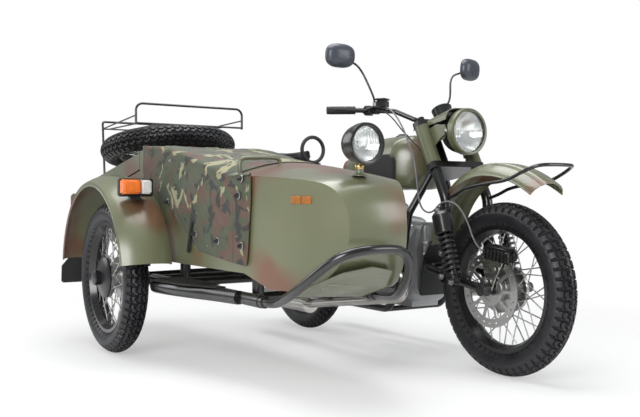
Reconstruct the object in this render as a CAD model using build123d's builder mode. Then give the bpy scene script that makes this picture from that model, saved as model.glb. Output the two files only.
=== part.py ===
"""Sidecar motorcycle: a boxer twin with a leading link fork and a sidecar on its right side.

Millimetres, X forward, Y left, Z up. Places are measured from the ground under the rear axle,
and the finished pieces are moved so that the origin is under the middle of the whole vehicle.
"""
import os
from math import atan2, cos, degrees, radians, sin, tan

from build123d import *

os.makedirs("parts", exist_ok=True)

# Stance
WHEELBASE = 1500
TRACK = 1140
SIDECAR_LEAD = 150
STEER_RAKE = 27
STEER_X = 1100
STEER_Z = 900
RUN_GAP = 6
SEAT_GAP = 0.3
RAIL_TOP = 756

# Wheels
TYRE_RADIUS = 345
TYRE_WIDTH = 110
TYRE_SHOULDER = 300
RIM_RADIUS = 253
RIM_WIDTH = 76
RIM_SEAT = 241
RIM_WELL = 226
RIM_WALL = 4
SPOKE_DIAMETER = 5
SPOKES_PER_ROW = 10
SPOKE_LEAN = 36
HUB_FLANGE = 92
HUB_FLANGE_Y = 30
HUB_BARREL = 52
HUB_WIDTH = 124
AXLE_DIAMETER = 20
DISC_RADIUS = 147.5
DISC_THICK = 5
DISC_Y = -82

# Motorcycle frame and engine
TUBE = 32
BACKBONE = 46
HEADSTOCK = 54
HEADSTOCK_LENGTH = 170
STEM = 30
STEM_PLAY = 1
CRADLE_Y = 150
CRADLE_Z = 212
ENGINE_X = 915
ENGINE_Z = 415
CASE_HALF = 104
BARREL_DIAMETER = 112
FIN_DIAMETER = 158
FIN_THICK = 4
FIN_PITCH = 10
FIN_COUNT = 12
HEAD_LENGTH = 62
COVER_LENGTH = 52
PIPE = 42
SILENCER = 92
TANK_HALF = 150
TANK_TOP = 985
TANK_BOTTOM = 742
TUNNEL_HALF = 36

# Fork and steered pieces
LEG = 44
LEG_Y = 116
LEG_OFFSET = 68
PIVOT_X = 1287
PIVOT_Z = 385
LINK = 34
SHOCK_LOW = (1387, 372)
SHOCK_TOP = (1303, 656)
SPRING = 58
FENDER_X = 1460
FENDER_TOP = 848
FENDER_FRONT_RADIUS = 510
FENDER_REAR_RADIUS = 354
FENDER_HALF = 85
SHEET = 3
FENDER_ROLL = 34
REAR_FENDER_HALF = 88
LAMP_X = 1290
LAMP_Z = 985
LAMP_RADIUS = 96
LAMP_DEPTH = 132
BAR = 22
GRIP = 34

# Sidecar
TUB_OUTER = -990
TUB_INNER = -450
TUB_WALL = 5
TUB_REAR = -640
TAIL_X = -590
NOSE_START = 1000
FLOOR_Z = 428
COAMING_X = 1080
COAMING_Z = 850
BACKREST_X = 150
BACKREST_Z = 932
LID_FRONT = 96
LID_GAP = 6
LID_DROP = 95
HINGE_X = 108
HINGE_Z = 952
RAIL = 40
RAIL_Z = 345
COVER_THICK = 6
SIDE_FENDER_RADIUS = 469
SIDE_FENDER_INNER = -1030
SIDE_FENDER_OUTER = -1250
SPARE_X = -190
SPARE_LIFT = 90
LID_SLOPE = 9.33
RACK_ROD = 12

SIDECAR_MID = (TUB_OUTER + TUB_INNER) / 2
pieces = []


def tube(points, diameter, bend):
    """Sweep a round bar along straight runs joined by arcs, in the open part."""
    with BuildLine() as route:
        if len(points) > 2:
            FilletPolyline(*points, radius=bend)
        else:
            Line(*points)
    with BuildSketch(Plane(origin=route.line @ 0, z_dir=route.line % 0)) as section:
        Circle(diameter / 2)
    sweep(section.sketch, path=route.line)


def spring_unit(low, top, rod, coil, start, pitch, count):
    """A damper with its coil spring, turned about the line between its two eyes, in the open part."""
    length = (top - low).length
    rings = []
    for number in range(count):
        foot = start + pitch * number
        rings += [(foot, rod / 2), (foot, coil / 2), (foot + pitch * 0.45, coil / 2), (foot + pitch * 0.45, rod / 2)]
    with BuildSketch(Plane(origin=low, x_dir=top - low, z_dir=(0, 1, 0))) as section:
        with BuildLine():
            Polyline((0, 0), (0, rod / 2), *rings, (length, rod / 2), (length, 0), close=True)
        make_face()
    revolve(section.sketch, axis=Axis(low, top - low))


def sides(points, side):
    """The same points on the left (side 1) or the right (side -1)."""
    return [(x, side * y, z) for x, y, z in points]


def steer_point(up, ahead=0, across=0):
    """A point given along the steering axis and ahead of it."""
    rake = radians(STEER_RAKE)
    x = STEER_X - up * sin(rake) + ahead * cos(rake)
    z = STEER_Z + up * cos(rake) + ahead * sin(rake)
    return (x, across, z)


# Wheels: a tyre, a dropped centre rim and a hub with four rows of laced spokes
def upright(x, y):
    """The middle plane of a wheel that stands on the ground."""
    return Plane(origin=(x, y, TYRE_RADIUS), x_dir=(1, 0, 0), z_dir=(0, -1, 0))


lid_rise = radians(LID_SLOPE)
lid_top = Plane(origin=(SPARE_X, SIDECAR_MID, BACKREST_Z - (BACKREST_X - SPARE_X) * tan(lid_rise)),
                x_dir=(cos(lid_rise), 0, sin(lid_rise)), z_dir=(-sin(lid_rise), 0, cos(lid_rise)))
WHEELS = {
    "front": upright(WHEELBASE, 0),
    "rear": upright(0, 0),
    "sidecar": upright(SIDECAR_LEAD, -TRACK),
    "spare": lid_top.offset(SPARE_LIFT),
}

for wheel, middle in WHEELS.items():
    across = Plane(origin=middle.origin, x_dir=middle.z_dir, z_dir=-middle.y_dir)
    spin = Axis(middle.origin, middle.z_dir)
    half = TYRE_WIDTH / 2
    with BuildPart() as tyre:
        with BuildSketch(across) as section:
            with BuildLine():
                bead = RIM_WIDTH / 2 - RIM_WALL - SEAT_GAP
                Polyline((-bead, RIM_RADIUS + 2), (-bead, RIM_SEAT + SEAT_GAP), (bead, RIM_SEAT + SEAT_GAP),
                         (bead, RIM_RADIUS + 2))
                ThreePointArc((bead, RIM_RADIUS + 2), (half - 4, TYRE_SHOULDER - 24), (half, TYRE_SHOULDER))
                ThreePointArc((half, TYRE_SHOULDER), (0, TYRE_RADIUS), (-half, TYRE_SHOULDER))
                ThreePointArc((-half, TYRE_SHOULDER), (4 - half, TYRE_SHOULDER - 24), (-bead, RIM_RADIUS + 2))
            make_face()
        revolve(axis=spin)
    tyre.part.label = wheel + "_tyre"
    pieces.append(tyre.part)

    flange = RIM_WIDTH / 2
    outline = [(flange, RIM_RADIUS), (flange - RIM_WALL, RIM_SEAT), (22, RIM_SEAT), (14, RIM_WELL)]
    inside = [(14 - RIM_WALL, RIM_WELL - RIM_WALL), (flange, RIM_SEAT - RIM_WALL)]
    with BuildPart() as rim:
        with BuildSketch(across):
            with BuildLine():
                Polyline(*outline, *[(-y, r) for y, r in reversed(outline)],
                         *[(-y, r) for y, r in reversed(inside)], *inside, close=True)
            make_face()
        revolve(axis=spin)
    rim.part.label = wheel + "_rim"
    pieces.append(rim.part)

    with BuildPart() as hub:
        with BuildSketch(across):
            with BuildLine():
                profile = [(HUB_WIDTH / 2, AXLE_DIAMETER / 2 + 12), (HUB_FLANGE_Y + 18, HUB_BARREL),
                           (HUB_FLANGE_Y + 8, HUB_FLANGE), (HUB_FLANGE_Y - 8, HUB_FLANGE),
                           (HUB_FLANGE_Y - 12, HUB_BARREL)]
                Polyline((HUB_WIDTH / 2, 0), *profile, *[(-y, r) for y, r in reversed(profile)],
                         (-HUB_WIDTH / 2, 0), close=True)
            make_face()
        revolve(axis=spin)
        tip = RIM_WELL - RIM_WALL - SEAT_GAP - SPOKE_DIAMETER / 4
        for lean, phase, root_y, tip_y in ((1, 0, 6, 4), (-1, 0.5, -6, 4), (1, 0.25, -6, -4), (-1, 0.75, 6, -4)):
            row_y = HUB_FLANGE_Y if tip_y > 0 else -HUB_FLANGE_Y
            for number in range(SPOKES_PER_ROW):
                start = radians(360 / SPOKES_PER_ROW * (number + phase))
                end = start + radians(lean * SPOKE_LEAN)
                foot = middle.from_local_coords(Vector((HUB_FLANGE - 8) * cos(start), (HUB_FLANGE - 8) * sin(start),
                                                       row_y + root_y))
                head = middle.from_local_coords(Vector(tip * cos(end), tip * sin(end), tip_y))
                tube([foot, head], SPOKE_DIAMETER, 0)
        if wheel == "front":
            with BuildSketch(middle.offset(-DISC_Y - DISC_THICK / 2)):
                Circle(DISC_RADIUS)
                Circle(DISC_RADIUS - 34, mode=Mode.SUBTRACT)
                Circle(62)
                Circle(HUB_BARREL - 10, mode=Mode.SUBTRACT)
                with PolarLocations((DISC_RADIUS + 30) / 2, 10):
                    Rectangle(60, 12)
                with PolarLocations(DISC_RADIUS - 17, 24):
                    Circle(5, mode=Mode.SUBTRACT)
            extrude(amount=DISC_THICK)
            with BuildSketch(middle.offset(HUB_WIDTH / 2 - 20)):
                Circle(HUB_BARREL)
            extrude(amount=-DISC_Y - HUB_WIDTH / 2 + 20)
        with BuildSketch(middle.offset(-HUB_WIDTH)):
            Circle(AXLE_DIAMETER / 2 + SEAT_GAP)
        extrude(amount=2 * HUB_WIDTH, mode=Mode.SUBTRACT)
    hub.part.label = wheel + "_hub"
    pieces.append(hub.part)

# Motorcycle frame: headstock, backbone and a double cradle that ends in the seat rails
head_axis = Plane(origin=steer_point(0), z_dir=Vector(*steer_point(1)) - Vector(*steer_point(0)))
CRADLE = [(1098, 20, 846), (1050, 128, 640), (1000, CRADLE_Y, 300), (930, CRADLE_Y, CRADLE_Z),
          (490, CRADLE_Y, CRADLE_Z), (405, CRADLE_Y, 290), (330, CRADLE_Y, 700), (330, CRADLE_Y - 10, 740)]
SEAT_RAIL = [(560, 30, 738), (330, 140, 735), (100, 150, RAIL_TOP), (-330, 110, RAIL_TOP)]
SADDLE_TUBES = [(160, 750), (20, RAIL_TOP), (-250, RAIL_TOP)]
with BuildPart() as bike_frame:
    with BuildSketch(head_axis.offset(-HEADSTOCK_LENGTH / 2)):
        Circle(HEADSTOCK / 2)
    extrude(amount=HEADSTOCK_LENGTH)
    tube([(1092, 0, 880), (780, 0, 790), (392, 0, 740)], BACKBONE, 200)
    for side in (1, -1):
        tube(sides(CRADLE, side), TUBE, 70)
        tube(sides(SEAT_RAIL, side), TUBE - 6, 90)
    for x, z in SADDLE_TUBES + [(330, 738), (520, CRADLE_Z), (920, CRADLE_Z)]:
        reach = 112 if x < -200 else 140
        tube([(x, -reach, z), (x, reach, z)], TUBE - 8, 0)
    tube([(400, 0, 742), (400, 0, 850 - 62 - SEAT_GAP)], 26, 0)
    for (x, z), y, top in zip(SADDLE_TUBES, (70, 60, 80), (850, 962, 962)):
        for side in (1, -1):
            tube([(x, side * y, z), (x, side * y, top - 62 - SEAT_GAP)], 30, 0)
    for side in (1, -1):
        tube(sides([(600, CRADLE_Y, CRADLE_Z), (600, CRADLE_Y, 266), (600, CRADLE_Y + 150, 266)], side), 22, 16)
        tube(sides([(372, CRADLE_Y, 480), (372, CRADLE_Y + 140, 480)], side), 22, 0)
    with BuildSketch(head_axis.offset(-HEADSTOCK_LENGTH / 2)):
        Circle(STEM / 2 + STEM_PLAY)
    extrude(amount=HEADSTOCK_LENGTH, mode=Mode.SUBTRACT)
bike_frame.part.label = "bike_frame"
pieces.append(bike_frame.part)

# Engine: crankcase, round front cover, gearbox behind it and a sump with fins
with BuildPart() as engine_block:
    with Locations((ENGINE_X - 10, 0, 412)):
        Box(250, 2 * CASE_HALF, 330)
    fillet(engine_block.edges().filter_by(Axis.X), 60)
    with BuildSketch(Plane(origin=(ENGINE_X + 110, 0, 0), z_dir=(1, 0, 0), x_dir=(0, 1, 0))):
        with BuildLine():
            Polyline((-86, 280), (-92, 470), (-60, 600), (60, 600), (92, 470), (86, 280), close=True)
        make_face()
        fillet(vertices(), 40)
    extrude(amount=28, taper=8)
    with Locations((685, 0, 405)):
        Box(220, 190, 280)
    with Locations((ENGINE_X - 20, 0, CRADLE_Z + TUBE / 2 - 4 + SEAT_GAP + 17)):
        Box(220, 150, 34)
engine_block.part.label = "engine_block"
pieces.append(engine_block.part)

# Cylinders: finned barrels across the frame, each with a finned head and a rocker cover
with BuildPart() as cylinders:
    for side in (1, -1):
        seat = Plane(origin=(ENGINE_X, side * (CASE_HALF + SEAT_GAP), ENGINE_Z), z_dir=(0, side, 0),
                     x_dir=(1, 0, 0))
        barrel_length = FIN_COUNT * FIN_PITCH + 12
        with BuildSketch(seat):
            Circle(BARREL_DIAMETER / 2)
        extrude(amount=barrel_length + HEAD_LENGTH)
        for number in range(FIN_COUNT):
            with BuildSketch(seat.offset(12 + number * FIN_PITCH)):
                Circle(FIN_DIAMETER / 2)
            extrude(amount=FIN_THICK)
        for number in range(5):
            with BuildSketch(seat.offset(barrel_length + 2 + number * FIN_PITCH)):
                RectangleRounded(168, 178, 30)
            extrude(amount=FIN_THICK)
        with BuildSketch(seat.offset(barrel_length + HEAD_LENGTH - 10)):
            RectangleRounded(150, 170, 36)
        extrude(amount=10)
        with BuildSketch(seat.offset(barrel_length + HEAD_LENGTH)):
            RectangleRounded(134, 156, 40)
        extrude(amount=COVER_LENGTH, taper=12)
        HEAD_Y = CASE_HALF + SEAT_GAP + barrel_length + HEAD_LENGTH / 2
cylinders.part.label = "cylinders"
pieces.append(cylinders.part)

# Air box between the gearbox and the tank, with a carburettor for each cylinder
with BuildPart() as intakes:
    with Locations((ENGINE_X - 135 - SEAT_GAP - 95, 0, 620)):
        Box(190, 200, 130)
    fillet(intakes.edges(), 24)
    for side in (1, -1):
        tube(sides([(ENGINE_X - 155, 60, 610), (ENGINE_X - 150, 190, 590), (ENGINE_X - 150, 205, 450),
                    (ENGINE_X - 84 - SEAT_GAP, 205, 450)], side), 44, 40)
        with BuildSketch(Plane(origin=(ENGINE_X - 150, side * 205, 470), z_dir=(0, 0, 1))):
            Circle(34)
        extrude(amount=70)
intakes.part.label = "intakes"
pieces.append(intakes.part)

# Exhaust: header, elbow under the cylinder and a silencer along each side
with BuildPart() as exhaust:
    for side in (1, -1):
        start = (ENGINE_X + 84 + SEAT_GAP, HEAD_Y, 385)
        tube(sides([start, (1180, HEAD_Y, 385), (1192, HEAD_Y, 296), (980, 285, 268), (430, 250, 192)], side), PIPE, 44)
        with BuildSketch(Plane(origin=(440, side * 250, 193), z_dir=(-1, 0, 0))):
            Circle(SILENCER / 2)
        extrude(amount=430)
        with BuildSketch(Plane(origin=(10, side * 250, 193), z_dir=(-1, 0, 0))):
            Circle(SILENCER / 2)
        extrude(amount=26, taper=45)
exhaust.part.label = "exhaust"
pieces.append(exhaust.part)

# Fuel tank: pressed halves with flat sides where the knee pads sit
with BuildPart() as fuel_tank:
    with BuildSketch(Plane.XZ.offset(-TANK_HALF)):
        with BuildLine():
            Polyline((440, TANK_BOTTOM + 18), (1012, TANK_BOTTOM), (1046, 800), (1050, 872), (1018, 955), (960, TANK_TOP),
                     (600, TANK_TOP - 8), (440, 900), close=True)
        make_face()
    extrude(amount=2 * TANK_HALF)
    with BuildSketch(Plane.XY.offset(TANK_BOTTOM - 20)):
        with BuildLine():
            Polyline((420, -95), (560, -TANK_HALF), (920, -TANK_HALF), (1150, -66), (1150, 66),
                     (920, TANK_HALF), (560, TANK_HALF), (420, 95), close=True)
        make_face()
    extrude(amount=400, mode=Mode.INTERSECT)
    fillet(fuel_tank.edges().filter_by(GeomType.LINE).filter_by_position(Axis.Z, 890, 1000), 28)
    with BuildSketch(Plane.XZ.offset(-TUNNEL_HALF)):
        with BuildLine():
            Polyline((400, 700), (1250, 700), (1250, 950.4), (775.5, 813.4), (400, 764.7), close=True)
        make_face()
    extrude(amount=2 * TUNNEL_HALF, mode=Mode.SUBTRACT)
    with BuildSketch(Plane.XY.offset(TANK_TOP - 8)):
        with Locations((860, 0)):
            Circle(34)
    extrude(amount=24, taper=8)
fuel_tank.part.label = "fuel_tank"
pieces.append(fuel_tank.part)

with BuildPart() as knee_pads:
    with BuildSketch(Plane.XZ.offset(TANK_HALF)):
        with Locations((850, 828)):
            Rectangle(250, 150)
        fillet(vertices(), 36)
    extrude(amount=12, taper=20)
    mirror(about=Plane.XZ)
knee_pads.part.label = "knee_pads"
pieces.append(knee_pads.part)

# Saddles: two sprung rubber saddles and the ring that the passenger holds
for name, front, rear, top, width in (("rider_saddle", 428, 130, 850, 290), ("pillion_saddle", 10, -330, 962, 270)):
    with BuildPart() as saddle:
        with BuildSketch(Plane.XY.offset(top)):
            with BuildLine():
                Polyline((front, -35), (rear + 90, -width / 2), (rear, -width / 2 + 60), (rear, width / 2 - 60),
                         (rear + 90, width / 2), (front, 35), close=True)
            make_face()
            fillet(vertices(), 30)
        extrude(amount=-62, taper=-4)
        fillet(saddle.faces().sort_by(Axis.Z)[-1].edges(), 20)
    saddle.part.label = name
    pieces.append(saddle.part)

with BuildPart() as grab_ring:
    with Locations(Plane(origin=(62, 0, 968), z_dir=(1, 0, 0))):
        Torus(68, 10)
    tube([(-30, 0, 886), (62, 0, 894)], 18, 0)
    tube([(-30, 0, 886), (-30, 0, 900 - SEAT_GAP)], 16, 0)
grab_ring.part.label = "grab_ring"
pieces.append(grab_ring.part)

# Mudguards are rolled sheet: one crowned section turned about the wheel's middle
def mudguard(x, z, y, half, radius, depth, start, end):
    """A crowned sheet section turned about an axle, from the angle start to end over the front."""
    turn = radians(start)
    with BuildSketch(Plane(origin=(x, y, z), x_dir=(0, 1, 0), z_dir=(sin(turn), 0, -cos(turn)))) as section:
        for inset, mode in ((0, Mode.ADD), (SHEET, Mode.SUBTRACT)):
            edge = half - inset
            low = radius - depth - (inset and 1)
            with BuildLine():
                Line((-edge, low), (edge, low))
                Line((edge, low), (edge, radius - FENDER_ROLL))
                ThreePointArc((edge, radius - FENDER_ROLL), (0, radius - inset), (-edge, radius - FENDER_ROLL))
                Line((-edge, radius - FENDER_ROLL), (-edge, low))
            make_face(mode=mode)
    revolve(section.sketch, axis=Axis((x, y, z), (0, -1, 0)), revolution_arc=end - start)


with BuildPart() as rear_fender:
    mudguard(0, TYRE_RADIUS, 0, REAR_FENDER_HALF, TYRE_RADIUS + 48, 60, 38, 176)
    tube([(20, 0, 736), (20, 0, RAIL_TOP - TUBE / 2 + 4 - SEAT_GAP)], 24, 0)
rear_fender.part.label = "rear_fender"
pieces.append(rear_fender.part)

with BuildPart() as tail_lamp:
    with BuildSketch(Plane(origin=(-351.3, 0, 560), z_dir=(-1, 0, 0), x_dir=(0, 1, 0))):
        RectangleRounded(110, 76, 18)
    extrude(amount=52, taper=6)
tail_lamp.part.label = "tail_lamp"
pieces.append(tail_lamp.part)

# Rear swingarm, its pivot tube and the two spring units
SWING_X = 398
SWING_Z = 330
with BuildPart() as rear_swingarm:
    swing_half = CRADLE_Y - TUBE / 2 - SEAT_GAP
    tube([(SWING_X, -swing_half, SWING_Z), (SWING_X, swing_half, SWING_Z)], 44, 0)
    tube([(0, -134, TYRE_RADIUS), (0, 134, TYRE_RADIUS)], AXLE_DIAMETER, 0)
    for side in (1, -1):
        tube(sides([(SWING_X, 108, SWING_Z), (0, 112, TYRE_RADIUS)], side), 40, 0)
        tube(sides([(0, 95, TYRE_RADIUS), (0, 134, TYRE_RADIUS)], side), 52, 0)
    tube([(0, -RUN_GAP - HUB_WIDTH / 2, TYRE_RADIUS), (0, -108, TYRE_RADIUS)], 156, 0)
rear_swingarm.part.label = "rear_swingarm"
pieces.append(rear_swingarm.part)

with BuildPart() as rear_shocks:
    for side in (1, -1):
        low = Vector(60, side * 184, 339)
        top = Vector(20, side * 184, RAIL_TOP)
        spring_unit(low, top, 26, 60, 86, 24, 10)
        tube([(low.X, side * 132.3, low.Z), (low.X, side * 200, low.Z)], 30, 0)
        tube([(top.X, side * 164.3, top.Z), (top.X, side * 200, top.Z)], 30, 0)
rear_shocks.part.label = "rear_shocks"
pieces.append(rear_shocks.part)

# Fork: two legs in triple clamps, and a loop of tube that swings at their feet
bend = steer_point((STEER_Z - 700 + LEG_OFFSET * sin(radians(STEER_RAKE))) / -cos(radians(STEER_RAKE)), LEG_OFFSET)
CLAMP_TOP = (90, 112)
CLAMP_LOW = (-118, -90)
with BuildPart() as fork_legs:
    for low, high in (CLAMP_LOW, CLAMP_TOP):
        with BuildSketch(Plane(origin=steer_point(low), x_dir=(0, 1, 0), z_dir=head_axis.z_dir)):
            with BuildLine():
                Polyline((-30, 27), (30, 27), (LEG_Y + 30, -LEG_OFFSET + 20), (LEG_Y + 30, -LEG_OFFSET - 28),
                         (-LEG_Y - 30, -LEG_OFFSET - 28), (-LEG_Y - 30, -LEG_OFFSET + 20), close=True)
            make_face()
            fillet(vertices(), 14)
        extrude(amount=high - low)
    with BuildSketch(Plane(origin=steer_point(CLAMP_LOW[0]), z_dir=head_axis.z_dir)):
        Circle(STEM / 2)
    extrude(amount=CLAMP_TOP[1] - CLAMP_LOW[0])
    for side in (1, -1):
        top = steer_point(CLAMP_TOP[1], LEG_OFFSET, LEG_Y)
        foot = (PIVOT_X, LEG_Y, PIVOT_Z + LINK / 2 + 10 + SEAT_GAP)
        tube(sides([top, (bend[0], LEG_Y, bend[2]), foot], side), LEG, 120)
fork_legs.part.label = "fork_legs"
pieces.append(fork_legs.part)

with BuildPart() as fork_link:
    tube([(WHEELBASE + 22, LEG_Y, TYRE_RADIUS), (PIVOT_X, LEG_Y, PIVOT_Z), (1118, LEG_Y - 14, PIVOT_Z + 32),
          (1118, 14 - LEG_Y, PIVOT_Z + 32), (PIVOT_X, -LEG_Y, PIVOT_Z), (WHEELBASE + 22, -LEG_Y, TYRE_RADIUS)],
         LINK, 60)
    tube([(WHEELBASE, -LEG_Y - 22, TYRE_RADIUS), (WHEELBASE, LEG_Y + 22, TYRE_RADIUS)], AXLE_DIAMETER, 0)
    for side in (1, -1):
        tube(sides([(PIVOT_X, LEG_Y - 20, PIVOT_Z), (PIVOT_X, LEG_Y + 22, PIVOT_Z)], side), LINK + 20, 0)
        tube(sides([(WHEELBASE, LEG_Y - 19, TYRE_RADIUS), (WHEELBASE, LEG_Y + 20, TYRE_RADIUS)], side), 44, 0)
fork_link.part.label = "fork_link"
pieces.append(fork_link.part)

SHOCK_Y = LEG_Y + 52
with BuildPart() as fork_shocks:
    for side in (1, -1):
        low = Vector(SHOCK_LOW[0], side * SHOCK_Y, SHOCK_LOW[1])
        top = Vector(SHOCK_TOP[0], side * SHOCK_Y, SHOCK_TOP[1])
        spring_unit(low, top, 24, SPRING, 44, 22, 9)
        tube([(low.X, side * (LEG_Y + LINK / 2 + SEAT_GAP), low.Z), (low.X, side * (SHOCK_Y + 15), low.Z)], 28, 0)
        tube([(top.X, side * (LEG_Y + LEG / 2 + SEAT_GAP), top.Z), (top.X, side * (SHOCK_Y + 15), top.Z)], 28, 0)
fork_shocks.part.label = "fork_shocks"
pieces.append(fork_shocks.part)

with BuildPart() as front_fender:
    mudguard(FENDER_X, FENDER_TOP - FENDER_FRONT_RADIUS, 0, FENDER_HALF, FENDER_FRONT_RADIUS, 62, 51, 90)
    mudguard(FENDER_X, FENDER_TOP - FENDER_REAR_RADIUS, 0, FENDER_HALF, FENDER_REAR_RADIUS, 104, 90, 178)
    for side in (1, -1):
        tube([(bend[0], side * (FENDER_HALF - 1.5), bend[2]), (bend[0], side * (LEG_Y - LEG / 2 - SEAT_GAP), bend[2])],
             20, 0)
front_fender.part.label = "front_fender"
pieces.append(front_fender.part)

HOOP_Y = 122
with BuildPart() as fender_hoop:
    hoop = [(bend[0] + 19.4, LEG_Y, 709), (1330, LEG_Y, 709), (1400, HOOP_Y, 768), (1667, HOOP_Y, 790),
            (1800, HOOP_Y - 10, 808), (1838, 60, 812)]
    tube(hoop + sides(reversed(hoop), -1), 14, 18)
fender_hoop.part.label = "fender_hoop"
pieces.append(fender_hoop.part)

with BuildPart() as front_mudflap:
    with BuildSketch(Plane(origin=(1105, 0, 505.7), x_dir=(0, 1, 0), z_dir=(1, 0, -0.18))):
        with BuildLine():
            Polyline((-60, 0), (60, 0), (84, -50), (84, -228), (-84, -228), (-84, -50), close=True)
        make_face()
        fillet(vertices().group_by(Axis.Y)[0], 14)
    extrude(amount=4)
front_mudflap.part.label = "front_mudflap"
pieces.append(front_mudflap.part)

# Head lamp: pressed bowl and rim with a domed lens, held by the ears of the leg covers
lamp_axis = Axis((LAMP_X, 0, LAMP_Z), (1, 0, 0))
lamp_plane = Plane(origin=(LAMP_X, 0, LAMP_Z), x_dir=(1, 0, 0), z_dir=(0, -1, 0))


def dome(edge_x, edge_r, pole_x):
    """Half way along the arc, centred on the axis, from an edge to the pole."""
    sag = pole_x - edge_x
    size = (edge_r ** 2 + sag ** 2) / (2 * sag)
    half_turn = atan2(edge_r, size - sag) / 2
    if size < 0:
        half_turn = atan2(edge_r, sag - size) / 2
    return (pole_x - size + size * cos(half_turn), abs(size) * sin(half_turn))


def lamp_bowl(rim, neck, deep):
    """The section of a lamp's bowl with its rim at the front and its reflector hollow."""
    with BuildLine() as outline:
        ThreePointArc((-deep, 0), dome(-28, neck, -deep), (-28, neck))
        Polyline((-28, neck), (-24, rim), (0, rim), (0, rim - 9), (-18, rim - 11))
        ThreePointArc((-18, rim - 11), dome(-18, rim - 11, 14 - deep * 0.75), (14 - deep * 0.75, 0))
        Line((14 - deep * 0.75, 0), (-deep, 0))
    return outline.line


def lamp_glass(reach):
    """The section of a domed lens that lies in the rim."""
    with BuildLine() as outline:
        Polyline((6, 0), (-14, 0), (-14, reach), (-8, reach))
        ThreePointArc((-8, reach), dome(-8, reach, 6), (6, 0))
    return outline.line


with BuildPart() as headlamp:
    with BuildSketch(lamp_plane):
        make_face(lamp_bowl(LAMP_RADIUS, LAMP_RADIUS - 8, LAMP_DEPTH).edges())
    revolve(axis=lamp_axis)
headlamp.part.label = "headlamp"
pieces.append(headlamp.part)

with BuildPart() as headlamp_lens:
    with BuildSketch(lamp_plane):
        make_face(lamp_glass(LAMP_RADIUS - 10.6 - SEAT_GAP).edges())
    revolve(axis=lamp_axis)
headlamp_lens.part.label = "headlamp_lens"
pieces.append(headlamp_lens.part)

with BuildPart() as nacelle:
    with BuildSketch(Plane(origin=steer_point(CLAMP_LOW[1] + SEAT_GAP, LEG_OFFSET, -LEG_Y), z_dir=head_axis.z_dir)):
        Circle(LEG / 2 + 9)
        Circle(LEG / 2 + SEAT_GAP, mode=Mode.SUBTRACT)
    extrude(amount=CLAMP_TOP[0] - CLAMP_LOW[1] - 2 * SEAT_GAP)
    with BuildSketch(Plane.XZ.offset(LAMP_RADIUS - 6.5)):
        with BuildLine():
            Polyline((1176, 940), (1240, 955), (1260, 985), (1240, 1015), (1143, 1005), close=True)
        make_face()
    extrude(amount=6)
    mirror(about=Plane.XZ)
nacelle.part.label = "nacelle"
pieces.append(nacelle.part)

with BuildPart() as instrument:
    stand = Plane(origin=steer_point(CLAMP_TOP[1] + SEAT_GAP, 70), x_dir=(0, 1, 0), z_dir=head_axis.z_dir)
    with BuildSketch(stand):
        RectangleRounded(30, 100, 8)
    extrude(amount=6)
    with BuildSketch(stand.offset(6)):
        with Locations((0, -30)):
            Circle(41)
    extrude(amount=48, taper=-3)
instrument.part.label = "instrument"
pieces.append(instrument.part)

# Handlebar with its risers, grips, levers and mirrors
RISER = 165
bar_middle = steer_point(RISER)
BAR_PATH = [(812, 392, 1093), (868, 262, 1096), (950, 130, 1092), (bar_middle[0], 62, bar_middle[2])]
with BuildPart() as handlebar:
    tube(BAR_PATH + [(x, -y, z) for x, y, z in reversed(BAR_PATH)], BAR, 34)
    for side in (1, -1):
        tube([steer_point(CLAMP_TOP[1] + SEAT_GAP, 0, side * 40), steer_point(RISER + 14, 0, side * 40)], 32, 0)
handlebar.part.label = "handlebar"
pieces.append(handlebar.part)

with BuildPart() as hand_controls:
    for side in (1, -1):
        end = Vector(*BAR_PATH[0]) + Vector(-4, 6, 0)
        knee = Vector(*BAR_PATH[1])
        along = (knee - Vector(*BAR_PATH[0])).normalized()
        for start, length, size in ((Vector(*BAR_PATH[0]) - along * 4, 118, GRIP), ):
            plane = Plane(origin=(start.X, side * start.Y, start.Z), z_dir=(along.X, side * along.Y, along.Z))
            with BuildSketch(plane):
                Circle(size / 2)
                Circle(BAR / 2 + SEAT_GAP, mode=Mode.SUBTRACT)
            extrude(amount=length)
            with BuildSketch(plane.offset(-2)):
                Circle(size / 2)
            extrude(amount=1.7)
        tube(sides([(928, 165, 1110), (925, 232, 1108), (905, 262, 1092), (868, 400, 1092)], side), 10, 20)
hand_controls.part.label = "hand_controls"
pieces.append(hand_controls.part)

MIRROR = (882, 377, 1325)
with BuildPart() as mirrors:
    for side in (1, -1):
        tube(sides([(904, 205, 1105.8), (904, 205, 1130), (915, 228, 1168), (872, 262, 1285), (878, 340, 1318)],
                   side), 10, 14)
        with BuildSketch(Plane(origin=(MIRROR[0], side * MIRROR[1], MIRROR[2]), z_dir=(1, 0, -0.08), x_dir=(0, 1, 0))):
            Ellipse(73, 54)
        extrude(amount=20)
mirrors.part.label = "mirrors"
pieces.append(mirrors.part)

with BuildPart() as front_caliper:
    with Locations(Plane(origin=(1575, DISC_Y, 489), x_dir=(0.46, 0, 0.89), z_dir=(0, 1, 0))):
        with Locations((0, 10, -16)):
            Box(46, 110, 24)
        with Locations((0, 10, 16)):
            Box(46, 110, 22)
        with Locations((32, 10, 0)):
            Box(20, 110, 54)
    with BuildSketch(Plane.XZ.offset(90)):
        with BuildLine():
            Polyline((1478, 322), (1526, 330), (1606, 470), (1570, 530), (1474, 366), close=True)
        make_face()
        with Locations((WHEELBASE, TYRE_RADIUS)):
            Circle(AXLE_DIAMETER / 2 + SEAT_GAP, mode=Mode.SUBTRACT)
    extrude(amount=6)
front_caliper.part.label = "front_caliper"
pieces.append(front_caliper.part)

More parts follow.
